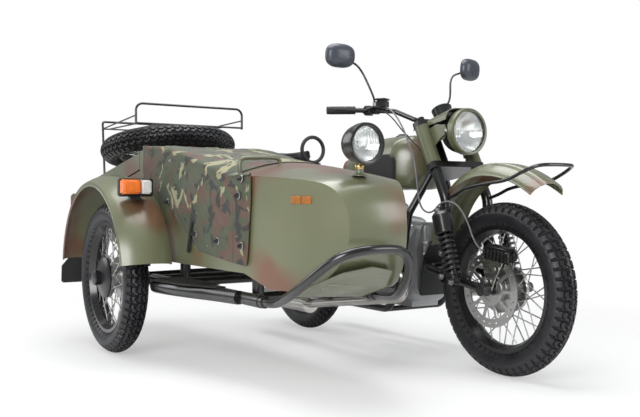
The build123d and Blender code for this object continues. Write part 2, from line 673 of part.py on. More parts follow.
# Sidecar frame: two rails and cross tubes under the tub, with the blocks that the tub stands on
RAIL_OUTER = TUB_OUTER + 30
RAIL_INNER = TUB_INNER - 20
RAIL_FRONT = 1240
RAIL_REAR = 210
RAIL_MID = RAIL_Z - 15
BLOCKS = [(1100, RAIL_OUTER + 60), (1100, RAIL_INNER - 60), (420, RAIL_OUTER + 60), (420, RAIL_INNER - 60)]
with BuildPart() as sidecar_chassis:
    for y in (RAIL_OUTER, RAIL_INNER):
        tube([(RAIL_REAR - 20, y, RAIL_MID), (RAIL_FRONT, y, RAIL_MID)], RAIL + 8, 0)
    for x in (RAIL_REAR, 420, 1100):
        tube([(x, RAIL_OUTER, RAIL_MID), (x, RAIL_INNER, RAIL_MID)], RAIL - 4, 0)
    for x, y in BLOCKS:
        tube([(x, y, RAIL_MID), (x, y, FLOOR_Z - SEAT_GAP)], 46, 0)
sidecar_chassis.part.label = "sidecar_chassis"
pieces.append(sidecar_chassis.part)

# Four struts tie the sidecar to the motorcycle, each with a ball at both ends
BALL = 34
rail_ball = RAIL_INNER + RAIL / 2 + 4 + BALL / 2 + SEAT_GAP
frame_ball = -CRADLE_Y - TUBE / 2 - BALL / 2 - SEAT_GAP
STRUTS = [((1060, rail_ball, RAIL_MID), (1004, frame_ball + 2, RAIL_MID)),
          ((330, rail_ball, RAIL_MID), (398, frame_ball, RAIL_MID)),
          ((1150, rail_ball, RAIL_MID), (1044, frame_ball + 19, 600)),
          ((250, rail_ball, RAIL_MID), (341, frame_ball, 640))]
with BuildPart() as sidecar_struts:
    for low, high in STRUTS:
        tube([low, high], 26, 0)
        with Locations(low, high):
            Sphere(BALL / 2)
sidecar_struts.part.label = "sidecar_struts"
pieces.append(sidecar_struts.part)

with BuildPart() as sidecar_driveshaft:
    tube([(14, -136.6, TYRE_RADIUS), (SIDECAR_LEAD - 12, RAIL_OUTER - 37, TYRE_RADIUS)], 30, 0)
sidecar_driveshaft.part.label = "sidecar_driveshaft"
pieces.append(sidecar_driveshaft.part)

# Sidecar swingarm: a trailing arm from the outer rail to the wheel, with its spring unit and drive shaft
with BuildPart() as sidecar_swingarm:
    tube([(470, RAIL_OUTER - 24.3, 330), (470, RAIL_OUTER - 70, 330)], 46, 0)
    tube([(470, RAIL_OUTER - 56, 330), (300, RAIL_OUTER - 62, 334), (SIDECAR_LEAD, RAIL_OUTER - 68, TYRE_RADIUS)],
         44, 100)
    tube([(SIDECAR_LEAD, RAIL_OUTER - 40, TYRE_RADIUS), (SIDECAR_LEAD, RAIL_OUTER - 94, TYRE_RADIUS)], 90, 0)
    tube([(SIDECAR_LEAD, RAIL_OUTER - 90, TYRE_RADIUS), (SIDECAR_LEAD, -TRACK - 66, TYRE_RADIUS)],
         AXLE_DIAMETER, 0)
sidecar_swingarm.part.label = "sidecar_swingarm"
pieces.append(sidecar_swingarm.part)


tail_z = BACKREST_Z - (BACKREST_X - TAIL_X) * tan(lid_rise)


# Tub: one closed skin. Its nose is lofted between the side edges and the crown along its middle
NOSE_EDGE = [(1194, 783), (1300, 774), (1411, 759), (1484, 744), (1547, 722), (1587, 692), (1600, 650), (1602, 572),
             (1555, 470), (1420, 388)]
NOSE_CROWN = [(1184, 837), (1389, 808), (1540, 783), (1612, 755), (1650, 705), (1668, 640), (1668, 570), (1640, 480),
              (1560, 405), (1420, 368)]
NOSE_CENTRE = Vector(1250, 600)


def inward(points, inset):
    """The points of the nose's side view, moved towards its middle by a wall."""
    moved = [Vector(*point) + (NOSE_CENTRE - Vector(*point)).normalized() * inset * 1.15 for point in points]
    return [(spot.X, spot.Y) for spot in moved]


def tub_skin(inset):
    """The tub's form, moved in by a wall."""
    low = FLOOR_Z + inset
    with BuildPart() as form:
        for y, points, top in ((TUB_OUTER, NOSE_EDGE, 795), (SIDECAR_MID, NOSE_CROWN, COAMING_Z),
                               (TUB_INNER, NOSE_EDGE, 795)):
            rim = inward(points, inset)
            with BuildSketch(Plane.XZ.offset(-y)):
                with BuildLine():
                    Spline((NOSE_START, top - inset), *rim)
                    Polyline(rim[-1], (1300, rim[-1][1] - 4), (1145, low), (NOSE_START, low),
                             (NOSE_START, top - inset))
                make_face()
        loft()
        with BuildSketch(Plane.XZ.offset(-SIDECAR_MID)):
            with BuildLine():
                Polyline((NOSE_START + 2 * inset, 840), (NOSE_START + 2 * inset, FLOOR_Z), (330, FLOOR_Z))
                ThreePointArc((330, FLOOR_Z), (-180, 462), (TUB_REAR + 40, 590))
                ThreePointArc((TUB_REAR + 40, 590), (TUB_REAR, 700), (TAIL_X, tail_z))
                Polyline((TAIL_X, tail_z), (BACKREST_X, BACKREST_Z), (NOSE_START + 2 * inset, 840))
            make_face()
            if inset:
                offset(amount=-inset)
        extrude(amount=400, both=True)
        with BuildSketch(Plane.XY.offset(200)):
            with BuildLine():
                Line((TUB_REAR - 50, TUB_OUTER), (NOSE_START, TUB_OUTER))
                TangentArc((NOSE_START, TUB_OUTER), (1600, -882), tangent=(1, 0))
                Polyline((1600, -882), (1720, -832), (1720, -650), (1594, -602))
                TangentArc((NOSE_START, TUB_INNER), (1594, -602), tangent=(1, 0))
                Polyline((NOSE_START, TUB_INNER), (TUB_REAR - 50, TUB_INNER), (TUB_REAR - 50, TUB_OUTER))
            make_face()
            if inset:
                offset(amount=-inset)
        extrude(amount=900, mode=Mode.INTERSECT)
    return form.part


skin = tub_skin(0)
room = tub_skin(TUB_WALL)
LID_SPLIT = [(LID_FRONT, BACKREST_Z - LID_DROP), (TUB_REAR - 60, 690)]
cockpit_x = BACKREST_X + TUB_WALL
HINGES = (SIDECAR_MID - 120, SIDECAR_MID + 90)


def lid_space(gap):
    """The side view of the trunk lid, cut back by a gap, across the tub."""
    with BuildPart() as space:
        with BuildSketch(Plane.XZ.offset(-SIDECAR_MID)):
            with BuildLine():
                Polyline((LID_FRONT - gap, 1100), (LID_FRONT - gap, LID_SPLIT[0][1] + gap),
                         (TUB_REAR - 60, LID_SPLIT[1][1] + gap), (TUB_REAR - 60, 1100), close=True)
            make_face()
        extrude(amount=400, both=True)
    return space.part


with BuildPart() as rooms:
    add(room)
    with Locations((BACKREST_X - TUB_WALL, SIDECAR_MID, 600)):
        Box(2 * TUB_WALL, 700, 900, mode=Mode.SUBTRACT)

with BuildPart() as sidecar_tub:
    add(skin)
    add(rooms.part, mode=Mode.SUBTRACT)
    with BuildSketch(Plane.XZ.offset(-SIDECAR_MID)):
        with BuildLine():
            Polyline((cockpit_x + 10, 1000), (cockpit_x + 10, 800), (cockpit_x + 60, 760), (980, 760), (1050, 800),
                     (1050, 1000), close=True)
        make_face()
    extrude(amount=400, both=True, mode=Mode.SUBTRACT)
    with BuildSketch(Plane.XZ.offset(-TUB_OUTER - 20)):
        with BuildLine():
            Polyline((480, 800), (560, 600), (920, 590), (1000, 800), close=True)
        make_face()
        fillet(vertices(), 60)
    extrude(amount=40, mode=Mode.SUBTRACT)
    add(lid_space(0), mode=Mode.SUBTRACT)
    for y in HINGES:
        tube([(HINGE_X, y + 27, HINGE_Z), (HINGE_X, y + 42, HINGE_Z)], 16, 0)
        tube([(HINGE_X + 8, y + 34, HINGE_Z), (HINGE_X + 14, y + 34, BACKREST_Z - 10)], 12, 0)
sidecar_tub.part.label = "sidecar_tub"
pieces.append(sidecar_tub.part)

with BuildPart() as trunk_lid:
    add(skin)
    add(room, mode=Mode.SUBTRACT)
    add(lid_space(LID_GAP), mode=Mode.INTERSECT)
    for y in HINGES:
        tube([(HINGE_X, y - 26.2, HINGE_Z), (HINGE_X, y + 26.2, HINGE_Z)], 16, 0)
        tube([(HINGE_X, y, HINGE_Z), (66, y, 916)], 12, 0)
trunk_lid.part.label = "trunk_lid"
pieces.append(trunk_lid.part)

# Spare wheel carrier and luggage rack, both bolted to the lid
with BuildPart() as spare_carrier:
    with BuildSketch(lid_top.offset(SEAT_GAP)):
        RectangleRounded(180, 180, 30)
    extrude(amount=5)
    with BuildSketch(lid_top.offset(SEAT_GAP)):
        Circle(34)
    extrude(amount=SPARE_LIFT - HUB_WIDTH / 2 - 2 * SEAT_GAP)
spare_carrier.part.label = "spare_carrier"
pieces.append(spare_carrier.part)

RACK_REAR = -615
RACK_FRONT = -170
RACK_LOW = 1100
RACK_TOP = 1188
RACK_FOOT = -570
foot_z = BACKREST_Z - (BACKREST_X - RACK_FOOT) * tan(lid_rise) + 1.4
with BuildPart() as luggage_rack:
    tube([(RACK_FOOT, -940, foot_z), (RACK_FOOT, -940, foot_z + 30), (RACK_REAR, -935, RACK_LOW + 25),
          (RACK_REAR, -400, RACK_LOW + 25), (RACK_FOOT, -490, foot_z + 30), (RACK_FOOT, -490, foot_z)], RACK_ROD, 14)
    tube([(RACK_FRONT, -910, RACK_LOW - 20), (RACK_FRONT, -910, RACK_TOP), (RACK_FRONT, -310, RACK_TOP),
          (RACK_FRONT, -310, RACK_LOW - 20)], RACK_ROD, 36)
    tube([(RACK_FRONT, -913, RACK_LOW - 12), (RACK_FRONT, -307, RACK_LOW - 12)], RACK_ROD - 2, 0)
    tube([(RACK_REAR + 3, -937, RACK_LOW - 14), (RACK_REAR + 3, -412, RACK_LOW - 14)], RACK_ROD - 4, 0)
    for y in (-900, -790, -660, -540, -430):
        tube([(RACK_REAR, y, RACK_LOW - 14), (RACK_FRONT, y, RACK_LOW - 14)], RACK_ROD - 4, 0)
    for front_y, rear_y in ((-910, -935), (-310, -416)):
        tube([(RACK_FRONT, front_y, RACK_LOW + 27), (RACK_REAR + 4, rear_y, RACK_LOW - 14)], RACK_ROD - 4, 0)
luggage_rack.part.label = "luggage_rack"
pieces.append(luggage_rack.part)

# Tonneau cover: canvas over the cockpit, with a long flap over the entry on the outer side
cloth_outer = TUB_OUTER - SEAT_GAP - COVER_THICK
cloth_inner = TUB_INNER + SEAT_GAP + COVER_THICK
FLAP = [(1062, 866), (1085, 806), (1205, 800), (1182, 500), (763, 536), (168, 790)]
with BuildPart() as tonneau_cover:
    with BuildSketch(Plane.XZ.offset(-cloth_inner)):
        with BuildLine():
            Polyline((168, 958), (600, 912), *FLAP, close=True)
        make_face()
    extrude(amount=cloth_inner - cloth_outer)
    with BuildSketch(Plane.XZ.offset(-cloth_inner + COVER_THICK)):
        with BuildLine():
            Polyline((150, 958 - COVER_THICK), (600, 912 - COVER_THICK), (1058, 866 - COVER_THICK), (1058, 900),
                     (1300, 900), (1300, 400), (150, 400), close=True)
        make_face()
    extrude(amount=cloth_inner - cloth_outer - 2 * COVER_THICK, mode=Mode.SUBTRACT)
    with Locations((600, cloth_inner, 500)):
        Box(1400, 30, 470, mode=Mode.SUBTRACT)
    with Locations((1200, cloth_inner, 800)):
        Box(276, 30, 400, mode=Mode.SUBTRACT)
tonneau_cover.part.label = "tonneau_cover"
pieces.append(tonneau_cover.part)

# Grab rail across the front of the cockpit
with BuildPart() as grab_rail:
    tube([(1090, -950, 808.9), (1090, -950, 900), (1090, -700, 916), (1090, -700, 846.6)], 16, 26)
grab_rail.part.label = "grab_rail"
pieces.append(grab_rail.part)

# Spotlight on its post
SPOT = (1600, -750, 892)
SPOT_RADIUS = 70
spot_plane = Plane(origin=SPOT, x_dir=(1, 0, 0), z_dir=(0, -1, 0))
with BuildPart() as spotlight:
    with BuildSketch(spot_plane):
        make_face(lamp_bowl(SPOT_RADIUS, SPOT_RADIUS - 4, 108).edges())
    revolve(axis=Axis(SPOT, (1, 0, 0)))
    tube([(SPOT[0] - 100, SPOT[1], SPOT[2]), (SPOT[0] - 118, SPOT[1], SPOT[2])], 24, 0)
    tube([(SPOT[0] - 46, SPOT[1], 782.6), (SPOT[0] - 46, SPOT[1], SPOT[2] - SPOT_RADIUS + 6)], 24, 0)
spotlight.part.label = "spotlight"
pieces.append(spotlight.part)

with BuildPart() as spotlight_lens:
    with BuildSketch(spot_plane):
        make_face(lamp_glass(SPOT_RADIUS - 10.6 - SEAT_GAP).edges())
    revolve(axis=Axis(SPOT, (1, 0, 0)))
spotlight_lens.part.label = "spotlight_lens"
pieces.append(spotlight_lens.part)

# Bumper: one bent tube around the nose, from the outer rail to the inner rail
with BuildPart() as nose_bumper:
    tube([(RAIL_FRONT + SEAT_GAP, RAIL_OUTER, RAIL_MID), (1300, RAIL_OUTER, RAIL_MID), (1420, -990, 352),
          (1560, -990, 410), (1700, -950, 505), (1735, -860, 537), (1712, -690, 532), (1700, -650, 480),
          (1600, -600, 378), (1450, -540, 338), (1300, RAIL_INNER, RAIL_MID),
          (RAIL_FRONT + SEAT_GAP, RAIL_INNER, RAIL_MID)], 38, 26)
nose_bumper.part.label = "nose_bumper"
pieces.append(nose_bumper.part)

# Sidecar mudguard, flap and lamps
SIDE_FENDER_MID = (SIDE_FENDER_INNER + SIDE_FENDER_OUTER) / 2
with BuildPart() as sidecar_fender:
    mudguard(SIDECAR_LEAD, TYRE_RADIUS, SIDE_FENDER_MID, (SIDE_FENDER_INNER - SIDE_FENDER_OUTER) / 2,
             SIDE_FENDER_RADIUS, 52, 11, 172)
    for x, z in ((SIDECAR_LEAD - 150, 742), (SIDECAR_LEAD, 770)):
        tube([(x, SIDE_FENDER_INNER - 1.5, z), (x, TUB_OUTER - SEAT_GAP, z)], 20, 0)
sidecar_fender.part.label = "sidecar_fender"
pieces.append(sidecar_fender.part)

with BuildPart() as sidecar_mudflap:
    with BuildSketch(Plane(origin=(-315.5, SIDE_FENDER_MID, 409.3), x_dir=(0, 1, 0), z_dir=(1, 0, -0.1))):
        with BuildLine():
            Polyline((-70, 0), (70, 0), (104, -40), (104, -126), (-104, -126), (-104, -40), close=True)
        make_face()
        fillet(vertices().group_by(Axis.Y)[0], 14)
    extrude(amount=4)
sidecar_mudflap.part.label = "sidecar_mudflap"
pieces.append(sidecar_mudflap.part)

with BuildPart() as fender_lamps:
    for place, size in (((515, -1162, 752), (56, 150, 78)), ((466.2, -1162, 752), (47.6, 130, 80)),
                        ((-290, -1160, 690), (60, 90, 80)), ((-262, -1150, 640.5), (12, 60, 119))):
        with Locations(place):
            Box(*size)
fender_lamps.part.label = "fender_lamps"
pieces.append(fender_lamps.part)

with BuildPart() as side_marker:
    with Locations(Location((1441.9, -939.8, 690), (0, 0, 14.8))):
        Box(110, 14, 34)
side_marker.part.label = "side_marker"
pieces.append(side_marker.part)

with BuildPart() as sidecar_shock:
    low = Vector(230, RAIL_OUTER - 62, 362.6)
    top = Vector(240, RAIL_OUTER - 62, 640)
    spring_unit(low, top, 24, 56, 46, 24, 8)
    tube([(top.X, top.Y - 16, top.Z), (top.X, TUB_OUTER - SEAT_GAP, top.Z)], 30, 0)
sidecar_shock.part.label = "sidecar_shock"
pieces.append(sidecar_shock.part)

# The origin goes on the ground under the middle of the whole vehicle
corners = [piece.bounding_box() for piece in pieces]
middle_x = (min(box.min.X for box in corners) + max(box.max.X for box in corners)) / 2
middle_y = (min(box.min.Y for box in corners) + max(box.max.Y for box in corners)) / 2
for piece in pieces:
    placed = piece.moved(Location((-middle_x, -middle_y, 0)))
    placed.label = piece.label
    export_step(placed, "parts/" + piece.label + ".step")
print("rear axle at", -middle_x, -middle_y)
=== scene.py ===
"""Sidecar motorcycle in a satin olive finish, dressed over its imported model."""
import math

import bmesh
import bpy
from mathutils import Matrix, Vector, noise


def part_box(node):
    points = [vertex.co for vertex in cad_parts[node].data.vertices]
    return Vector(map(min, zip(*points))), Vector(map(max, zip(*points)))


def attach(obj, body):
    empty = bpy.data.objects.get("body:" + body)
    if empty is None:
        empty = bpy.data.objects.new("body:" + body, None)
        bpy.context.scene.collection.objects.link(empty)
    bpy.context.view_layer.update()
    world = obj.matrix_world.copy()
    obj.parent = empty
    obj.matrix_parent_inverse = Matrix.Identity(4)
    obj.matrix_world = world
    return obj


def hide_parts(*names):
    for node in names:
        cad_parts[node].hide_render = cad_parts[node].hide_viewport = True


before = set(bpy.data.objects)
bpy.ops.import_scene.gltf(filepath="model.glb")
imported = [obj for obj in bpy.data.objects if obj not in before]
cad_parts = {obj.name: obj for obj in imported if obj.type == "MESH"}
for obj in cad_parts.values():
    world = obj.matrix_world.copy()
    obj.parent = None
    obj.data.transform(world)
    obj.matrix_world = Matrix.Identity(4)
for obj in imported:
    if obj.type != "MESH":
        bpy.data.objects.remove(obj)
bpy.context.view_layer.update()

# The view: the vehicle stands on a pale studio floor and is seen from the sidecar's side of the
# nose, a little above hub height. Places are counted from the ground under the rear axle.
tyre_low, tyre_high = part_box("rear_tyre")
GROUND = Vector(((tyre_low.x + tyre_high.x) / 2, (tyre_low.y + tyre_high.y) / 2, 0))
SENSOR, FOCAL_SHARE = 36, 844 / 640
YAW, PITCH = 2.57053, -0.01172


def at(x, y, z):
    """A place on the vehicle, counted from the ground under the rear axle."""
    return GROUND + Vector((x, y, z))


lens_view = bpy.data.cameras.new("studio_camera")
lens_view.sensor_width = SENSOR
lens_view.lens = FOCAL_SHARE * SENSOR
camera = bpy.data.objects.new("studio_camera", lens_view)
bpy.context.scene.collection.objects.link(camera)
camera.location = at(3.926, -2.436, 0.7046)
gaze = Vector((math.cos(YAW) * math.cos(PITCH), math.sin(YAW) * math.cos(PITCH), math.sin(PITCH)))
camera.rotation_euler = gaze.to_track_quat("-Z", "Y").to_euler()
bpy.context.scene.camera = camera
bpy.context.scene.view_settings.view_transform = "Standard"


# Floor: a matt pale sheet that takes the shadow and fades to white away from the wheels.
def feed(tree, node, inputs):
    """Give each input named a value, an output or a node's first output."""
    for label, value in inputs.items():
        if isinstance(value, bpy.types.Node):
            value = value.outputs[0]
        if isinstance(value, bpy.types.NodeSocket):
            tree.links.new(value, node.inputs[label])
        else:
            node.inputs[label].default_value = value


def shader_node(tree, kind, inputs=(), **settings):
    """A new shader node with its settings and inputs."""
    node = tree.nodes.new("ShaderNode" + kind)
    for label, value in settings.items():
        setattr(node, label, value)
    feed(tree, node, dict(inputs))
    return node


def new_material(name):
    """An empty material, with its tree and its main shader."""
    material = bpy.data.materials.new(name)
    material.use_nodes = True
    return material, material.node_tree, material.node_tree.nodes["Principled BSDF"]


FLOOR_TONE = 0.92
floor_finish, floor_tree, floor_shader = new_material("pale_floor")
feed(floor_tree, floor_shader, {"Base Color": (FLOOR_TONE, FLOOR_TONE, FLOOR_TONE, 1), "Roughness": 0.75})
floor_place = shader_node(floor_tree, "TexCoord")
floor_reach = shader_node(floor_tree, "VectorMath", {0: floor_place.outputs["Object"]}, operation="LENGTH")
floor_far = shader_node(
    floor_tree, "MapRange", {"Value": floor_reach.outputs["Value"], "From Min": 0.9, "From Max": 3.0,
    "To Min": 0.42}, interpolation_type="SMOOTHSTEP")
floor_rays = shader_node(floor_tree, "LightPath")
floor_seen = shader_node(
    floor_tree, "Math", {0: floor_far, 1: floor_rays.outputs["Is Camera Ray"]}, operation="MULTIPLY")
floor_white = shader_node(floor_tree, "Emission")
floor_mix = shader_node(floor_tree, "MixShader", {0: floor_seen, 1: floor_shader, 2: floor_white})
feed(floor_tree, floor_tree.nodes["Material Output"], {"Surface": floor_mix})
floor_mesh = bpy.data.meshes.new("studio_floor")
floor_mesh.from_pydata([(-40, -40, 0), (40, -40, 0), (40, 40, 0), (-40, 40, 0)], [], [(0, 1, 2, 3)])
floor_mesh.materials.append(floor_finish)
floor = bpy.data.objects.new("studio_floor", floor_mesh)
bpy.context.scene.collection.objects.link(floor)

# Light: four large soft boxes under a pale sky, which the camera sees as white.
for name, spot, size, power in (
        ("key_light", (3.2, -3.6, 1.9), 1.8, 95),
        ("fill_light", (4.6, 2.2, 2.0), 2.0, 55),
        ("rear_light", (-2.6, -3.4, 2.6), 2.6, 50),
        ("top_light", (0.5, -0.6, 3.8), 3.0, 130)):
    lamp = bpy.data.lights.new(name, "AREA")
    lamp.size = size
    lamp.energy = power
    light = bpy.data.objects.new(name, lamp)
    bpy.context.scene.collection.objects.link(light)
    light.location = at(*spot)
    light.rotation_euler = (at(0.7, -0.6, 0.4) - light.location).to_track_quat("-Z", "Y").to_euler()

world = bpy.data.worlds.new("studio")
bpy.context.scene.world = world
world.use_nodes = True
sky = world.node_tree
sky_low = sky.nodes["Background"]
feed(sky, sky_low, {"Color": (0.9, 0.93, 0.95, 1), "Strength": 0.38})
sky_white = shader_node(sky, "Background", {"Color": (1, 1, 1, 1), "Strength": 1.0})
sky_rays = shader_node(sky, "LightPath")
sky_mix = shader_node(sky, "MixShader", {0: sky_rays.outputs["Is Camera Ray"], 1: sky_low, 2: sky_white})
feed(sky, sky.nodes["World Output"], {"Surface": sky_mix})

# Frame, swingarms and carriers: welded steel tube under glossy black paint. The grain group gives
# every finish on the vehicle its small changes of tone and its fine relief.
COLOUR, NUMBER = "NodeSocketColor", "NodeSocketFloat"
COAT_ROUGHNESS = 0.24


def node_group(name, takes, gives):
    """A group of shader nodes, with its own input and output sockets."""
    group = bpy.data.node_groups.new(name, "ShaderNodeTree")
    for direction, sockets in (("INPUT", takes), ("OUTPUT", gives)):
        for label, kind in sockets.items():
            group.interface.new_socket(label, in_out=direction, socket_type=kind)
    return group, group.nodes.new("NodeGroupInput").outputs, group.nodes.new("NodeGroupOutput").inputs


grain, grain_in, grain_out = node_group(
    "surface grain", {"Color": COLOUR, "Variation": NUMBER, "Roughness": NUMBER, "Scale": NUMBER,
    "Patches": NUMBER}, {"Color": COLOUR, "Roughness": NUMBER, "Height": NUMBER})
grain_place = shader_node(grain, "TexCoord").outputs["Object"]
grain_fine = shader_node(grain, "TexNoise", {"Vector": grain_place, "Scale": grain_in["Scale"]})
grain_broad = shader_node(
    grain, "TexNoise", {"Vector": grain_place, "Scale": grain_in["Patches"], "Detail": 6})
grain_span = shader_node(
    grain, "MapRange", {"Value": grain_broad, "From Min": 0.3, "From Max": 0.7, "To Min": -1.0})
grain_gain = shader_node(
    grain, "Math", {0: grain_span, 1: grain_in["Variation"], 2: 1.0}, operation="MULTIPLY_ADD")
grain_tone = shader_node(
    grain, "VectorMath", {0: grain_in["Color"], "Scale": grain_gain}, operation="SCALE")
grain_rough = shader_node(
    grain, "Math", {0: grain_span, 1: 0.07, 2: grain_in["Roughness"]}, operation="MULTIPLY_ADD")
grain.links.new(grain_tone.outputs[0], grain_out["Color"])
grain.links.new(grain_rough.outputs[0], grain_out["Roughness"])
grain.links.new(grain_fine.outputs["Fac"], grain_out["Height"])


def finish(name, colour, rough, metal=0.0, scale=260.0, relief=0.05, variation=0.12, patches=7.0,
        coat=0.0):
    """A material whose tone, roughness and relief come from the grain group."""
    material, tree, shader = new_material(name)
    surface = shader_node(
        tree, "Group", {"Color": (*colour, 1), "Variation": variation, "Roughness": rough, "Scale": scale,
        "Patches": patches}, name="grain", node_tree=grain)
    bump = shader_node(
        tree, "Bump", {"Strength": relief, "Distance": 0.002, "Height": surface.outputs["Height"]},
        name="relief")
    feed(
        tree, shader, {"Base Color": surface, "Roughness": surface.outputs["Roughness"], "Normal": bump,
        "Metallic": metal, "Coat Weight": coat, "Coat Roughness": COAT_ROUGHNESS})
    return material


def dress(material, *nodes):
    """Give solids their finish."""
    for node in nodes:
        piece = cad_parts[node]
        piece.data.materials.clear()
        piece.data.materials.append(material)


black_enamel = finish(
    "black_enamel", (0.007, 0.007, 0.0075), 0.22, relief=0.02, variation=0.2, coat=0.5)
dress(
    black_enamel, "bike_frame", "rear_swingarm", "sidecar_chassis", "sidecar_struts",
    "sidecar_driveshaft", "sidecar_swingarm", "spare_carrier", "nose_bumper", "fender_hoop", "fork_link",
    "fork_legs", "luggage_rack", "handlebar")


# Wheels: black painted steel rims on wire spokes, with a black shell on both faces of each drum. A
# bearing cap stands out on the outer face. The front one has a drilled disc.
def placed(place):
    """A place as a vector: three numbers are counted from the ground under the rear axle."""
    return place if isinstance(place, Vector) else at(*place)


def add_piece(name, data, material, body, slot=None, smooth=False, sharp=0):
    """Link a mesh or curve as a piece on its body. Edges over the sharp angle stay crisp."""
    data.materials.append(material)
    if smooth:
        data.polygons.foreach_set("use_smooth", [True] * len(data.polygons))
    if sharp:
        data.set_sharp_from_angle(angle=math.radians(sharp))
    piece = bpy.data.objects.new(name, data)
    bpy.context.scene.collection.objects.link(piece)
    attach(piece, body)
    return piece


def ring_faces(rows, ring, wrap=False):
    """Faces between closed rings of points. With wrap, the last ring meets the first."""
    faces = []
    for row in range(rows if wrap else rows - 1):
        near, far = row * ring, (row + 1) % rows * ring
        for k in range(ring):
            after = (k + 1) % ring
            faces.append((near + k, near + after, far + after, far + k))
    return faces


def end_faces(rows, ring):
    """The two faces that close a stack of rings."""
    return [tuple(reversed(range(ring))), tuple(range((rows - 1) * ring, rows * ring))]


def solid(name, verts, faces, material, body, **shading):
    """A piece from points and faces."""
    mesh = bpy.data.meshes.new(name)
    mesh.from_pydata(verts, [], faces)
    return add_piece(name, mesh, material, body, **shading)


def ribbon(name, places, radius, material, body, closed=False, order=0):
    """A round rod or hose along the given places. An order over 0 smooths it."""
    curve = bpy.data.curves.new(name, "CURVE")
    curve.dimensions = "3D"
    curve.bevel_depth = radius
    curve.bevel_resolution = 3
    curve.use_fill_caps = True
    spline = curve.splines.new("NURBS" if order else "POLY")
    spline.points.add(len(places) - 1)
    for target, place in zip(spline.points, places):
        target.co = (*placed(place), 1)
    if order:
        spline.order_u = order
        spline.use_endpoint_u = not closed
    spline.use_cyclic_u = closed
    curve.resolution_u = 8
    return add_piece(name, curve, material, body)


def lathe(name, profile, centre, axis, material, body, slot=None, steps=48, smooth=True, ends=True):
    """A turned piece: the profile gives (height, radius) along the axis."""
    up = Vector(axis).normalized()
    across = up.orthogonal().normalized()
    aside = up.cross(across)
    verts = []
    for height, radius in profile:
        for step in range(steps):
            angle = step / steps * math.tau
            reach = (across * math.cos(angle) + aside * math.sin(angle)) * radius
            verts.append(placed(centre) + up * height + reach)
    faces = ring_faces(len(profile), steps)
    if ends:
        faces += end_faces(len(profile), steps)
    return solid(name, verts, faces, material, body, slot=slot, smooth=smooth, sharp=35 if smooth else 0)


black_rim = finish(
    "black_rim", (0.008, 0.008, 0.009), 0.24, relief=0.02, variation=0.15, coat=0.3)
spoke_steel = finish(
    "spoke_steel", (0.50, 0.50, 0.49), 0.3, metal=1.0, scale=500, relief=0.03)
hub_black = finish("hub_black", (0.008, 0.008, 0.009), 0.3, relief=0.03, coat=0.2)
dress(black_rim, "front_rim", "rear_rim", "sidecar_rim", "spare_rim")
dress(spoke_steel, "front_hub", "rear_hub", "sidecar_hub", "spare_hub")
HUB_FACE = 0.039
HUB_SHELL = [(0.000, 0.094), (0.006, 0.094), (0.012, 0.088), (0.016, 0.070), (0.024, 0.050)]
BEARING_CAP = [(0.026, 0.034), (0.050, 0.034), (0.054, 0.030), (0.056, 0.018), (0.057, 0.004)]
for wheel, outer in (("sidecar", -1), ("rear", 1)):
    low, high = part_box(wheel + "_hub")
    for side in (-1, 1):
        face = (low + high) / 2 + Vector((0, side * HUB_FACE, 0))
        lathe(wheel + "_hub_shell", HUB_SHELL + (BEARING_CAP if side == outer else [(0.0245, 0.012)]), face,
              (0, side, 0), hub_black, wheel + "_wheel")

# Tyres: ribbed and blocked road tread on a plain side wall, moulded in black rubber. Two zigzag
# grooves run round each side of the middle, and square lugs stand along both shoulders. The groove
# floors are painted near black as painted shade.
TREAD_STEPS = 660
TREAD_BLOCKS = 55
TREAD_DEPTH = 0.0085
SHOULDER_EDGE, SHOULDER_FOOT = 0.0515, 0.0375
OUTER_GROOVE, INNER_GROOVE = 0.0325, 0.0115
TYRE_SECTION = [
    (0.0335, 0.2555), (0.0400, 0.2580), (0.0478, 0.2680), (0.0530, 0.2810), (0.0549, 0.2960),
    (0.0545, 0.3020), (0.0530, 0.3070), (0.0513, 0.3110), (0.0490, 0.3160), (0.0462, 0.3202),
    (0.0430, 0.3240), (0.0400, 0.3270), (0.0377, 0.3292), (0.0360, 0.3306), (0.0338, 0.3325),
    (0.0316, 0.3341), (0.0293, 0.3357), (0.0268, 0.3372), (0.0240, 0.3387), (0.0210, 0.3401),
    (0.0180, 0.3414), (0.0155, 0.3424), (0.0133, 0.3431), (0.0112, 0.3437), (0.0090, 0.3442),
    (0.0068, 0.3446), (0.0035, 0.3449)]
TYRE_CROWN = 0.345


def tread_depth(turn, y):
    """How deep the mould cuts at a place round and across the tyre."""
    side, spread = (1 if y >= 0 else -1), abs(y)
    phase = turn * TREAD_BLOCKS % 1
    weave = 0.0042 * max(-1, min(1, 2.4 * math.sin(math.tau * phase))) * side
    if spread > SHOULDER_EDGE:
        return 0
    if spread > SHOULDER_FOOT:
        return TREAD_DEPTH * 0.8 if phase > 0.66 else 0
    if abs(spread - OUTER_GROOVE + weave * 0.6) < 0.0032 or abs(spread - INNER_GROOVE + weave) < 0.0030:
        return TREAD_DEPTH
    if spread > INNER_GROOVE:
        return TREAD_DEPTH * 0.8 if (phase + 0.3) % 1 > 0.80 else 0
    return TREAD_DEPTH * 0.5 if (phase + 0.25 * side) % 1 < 0.12 else 0


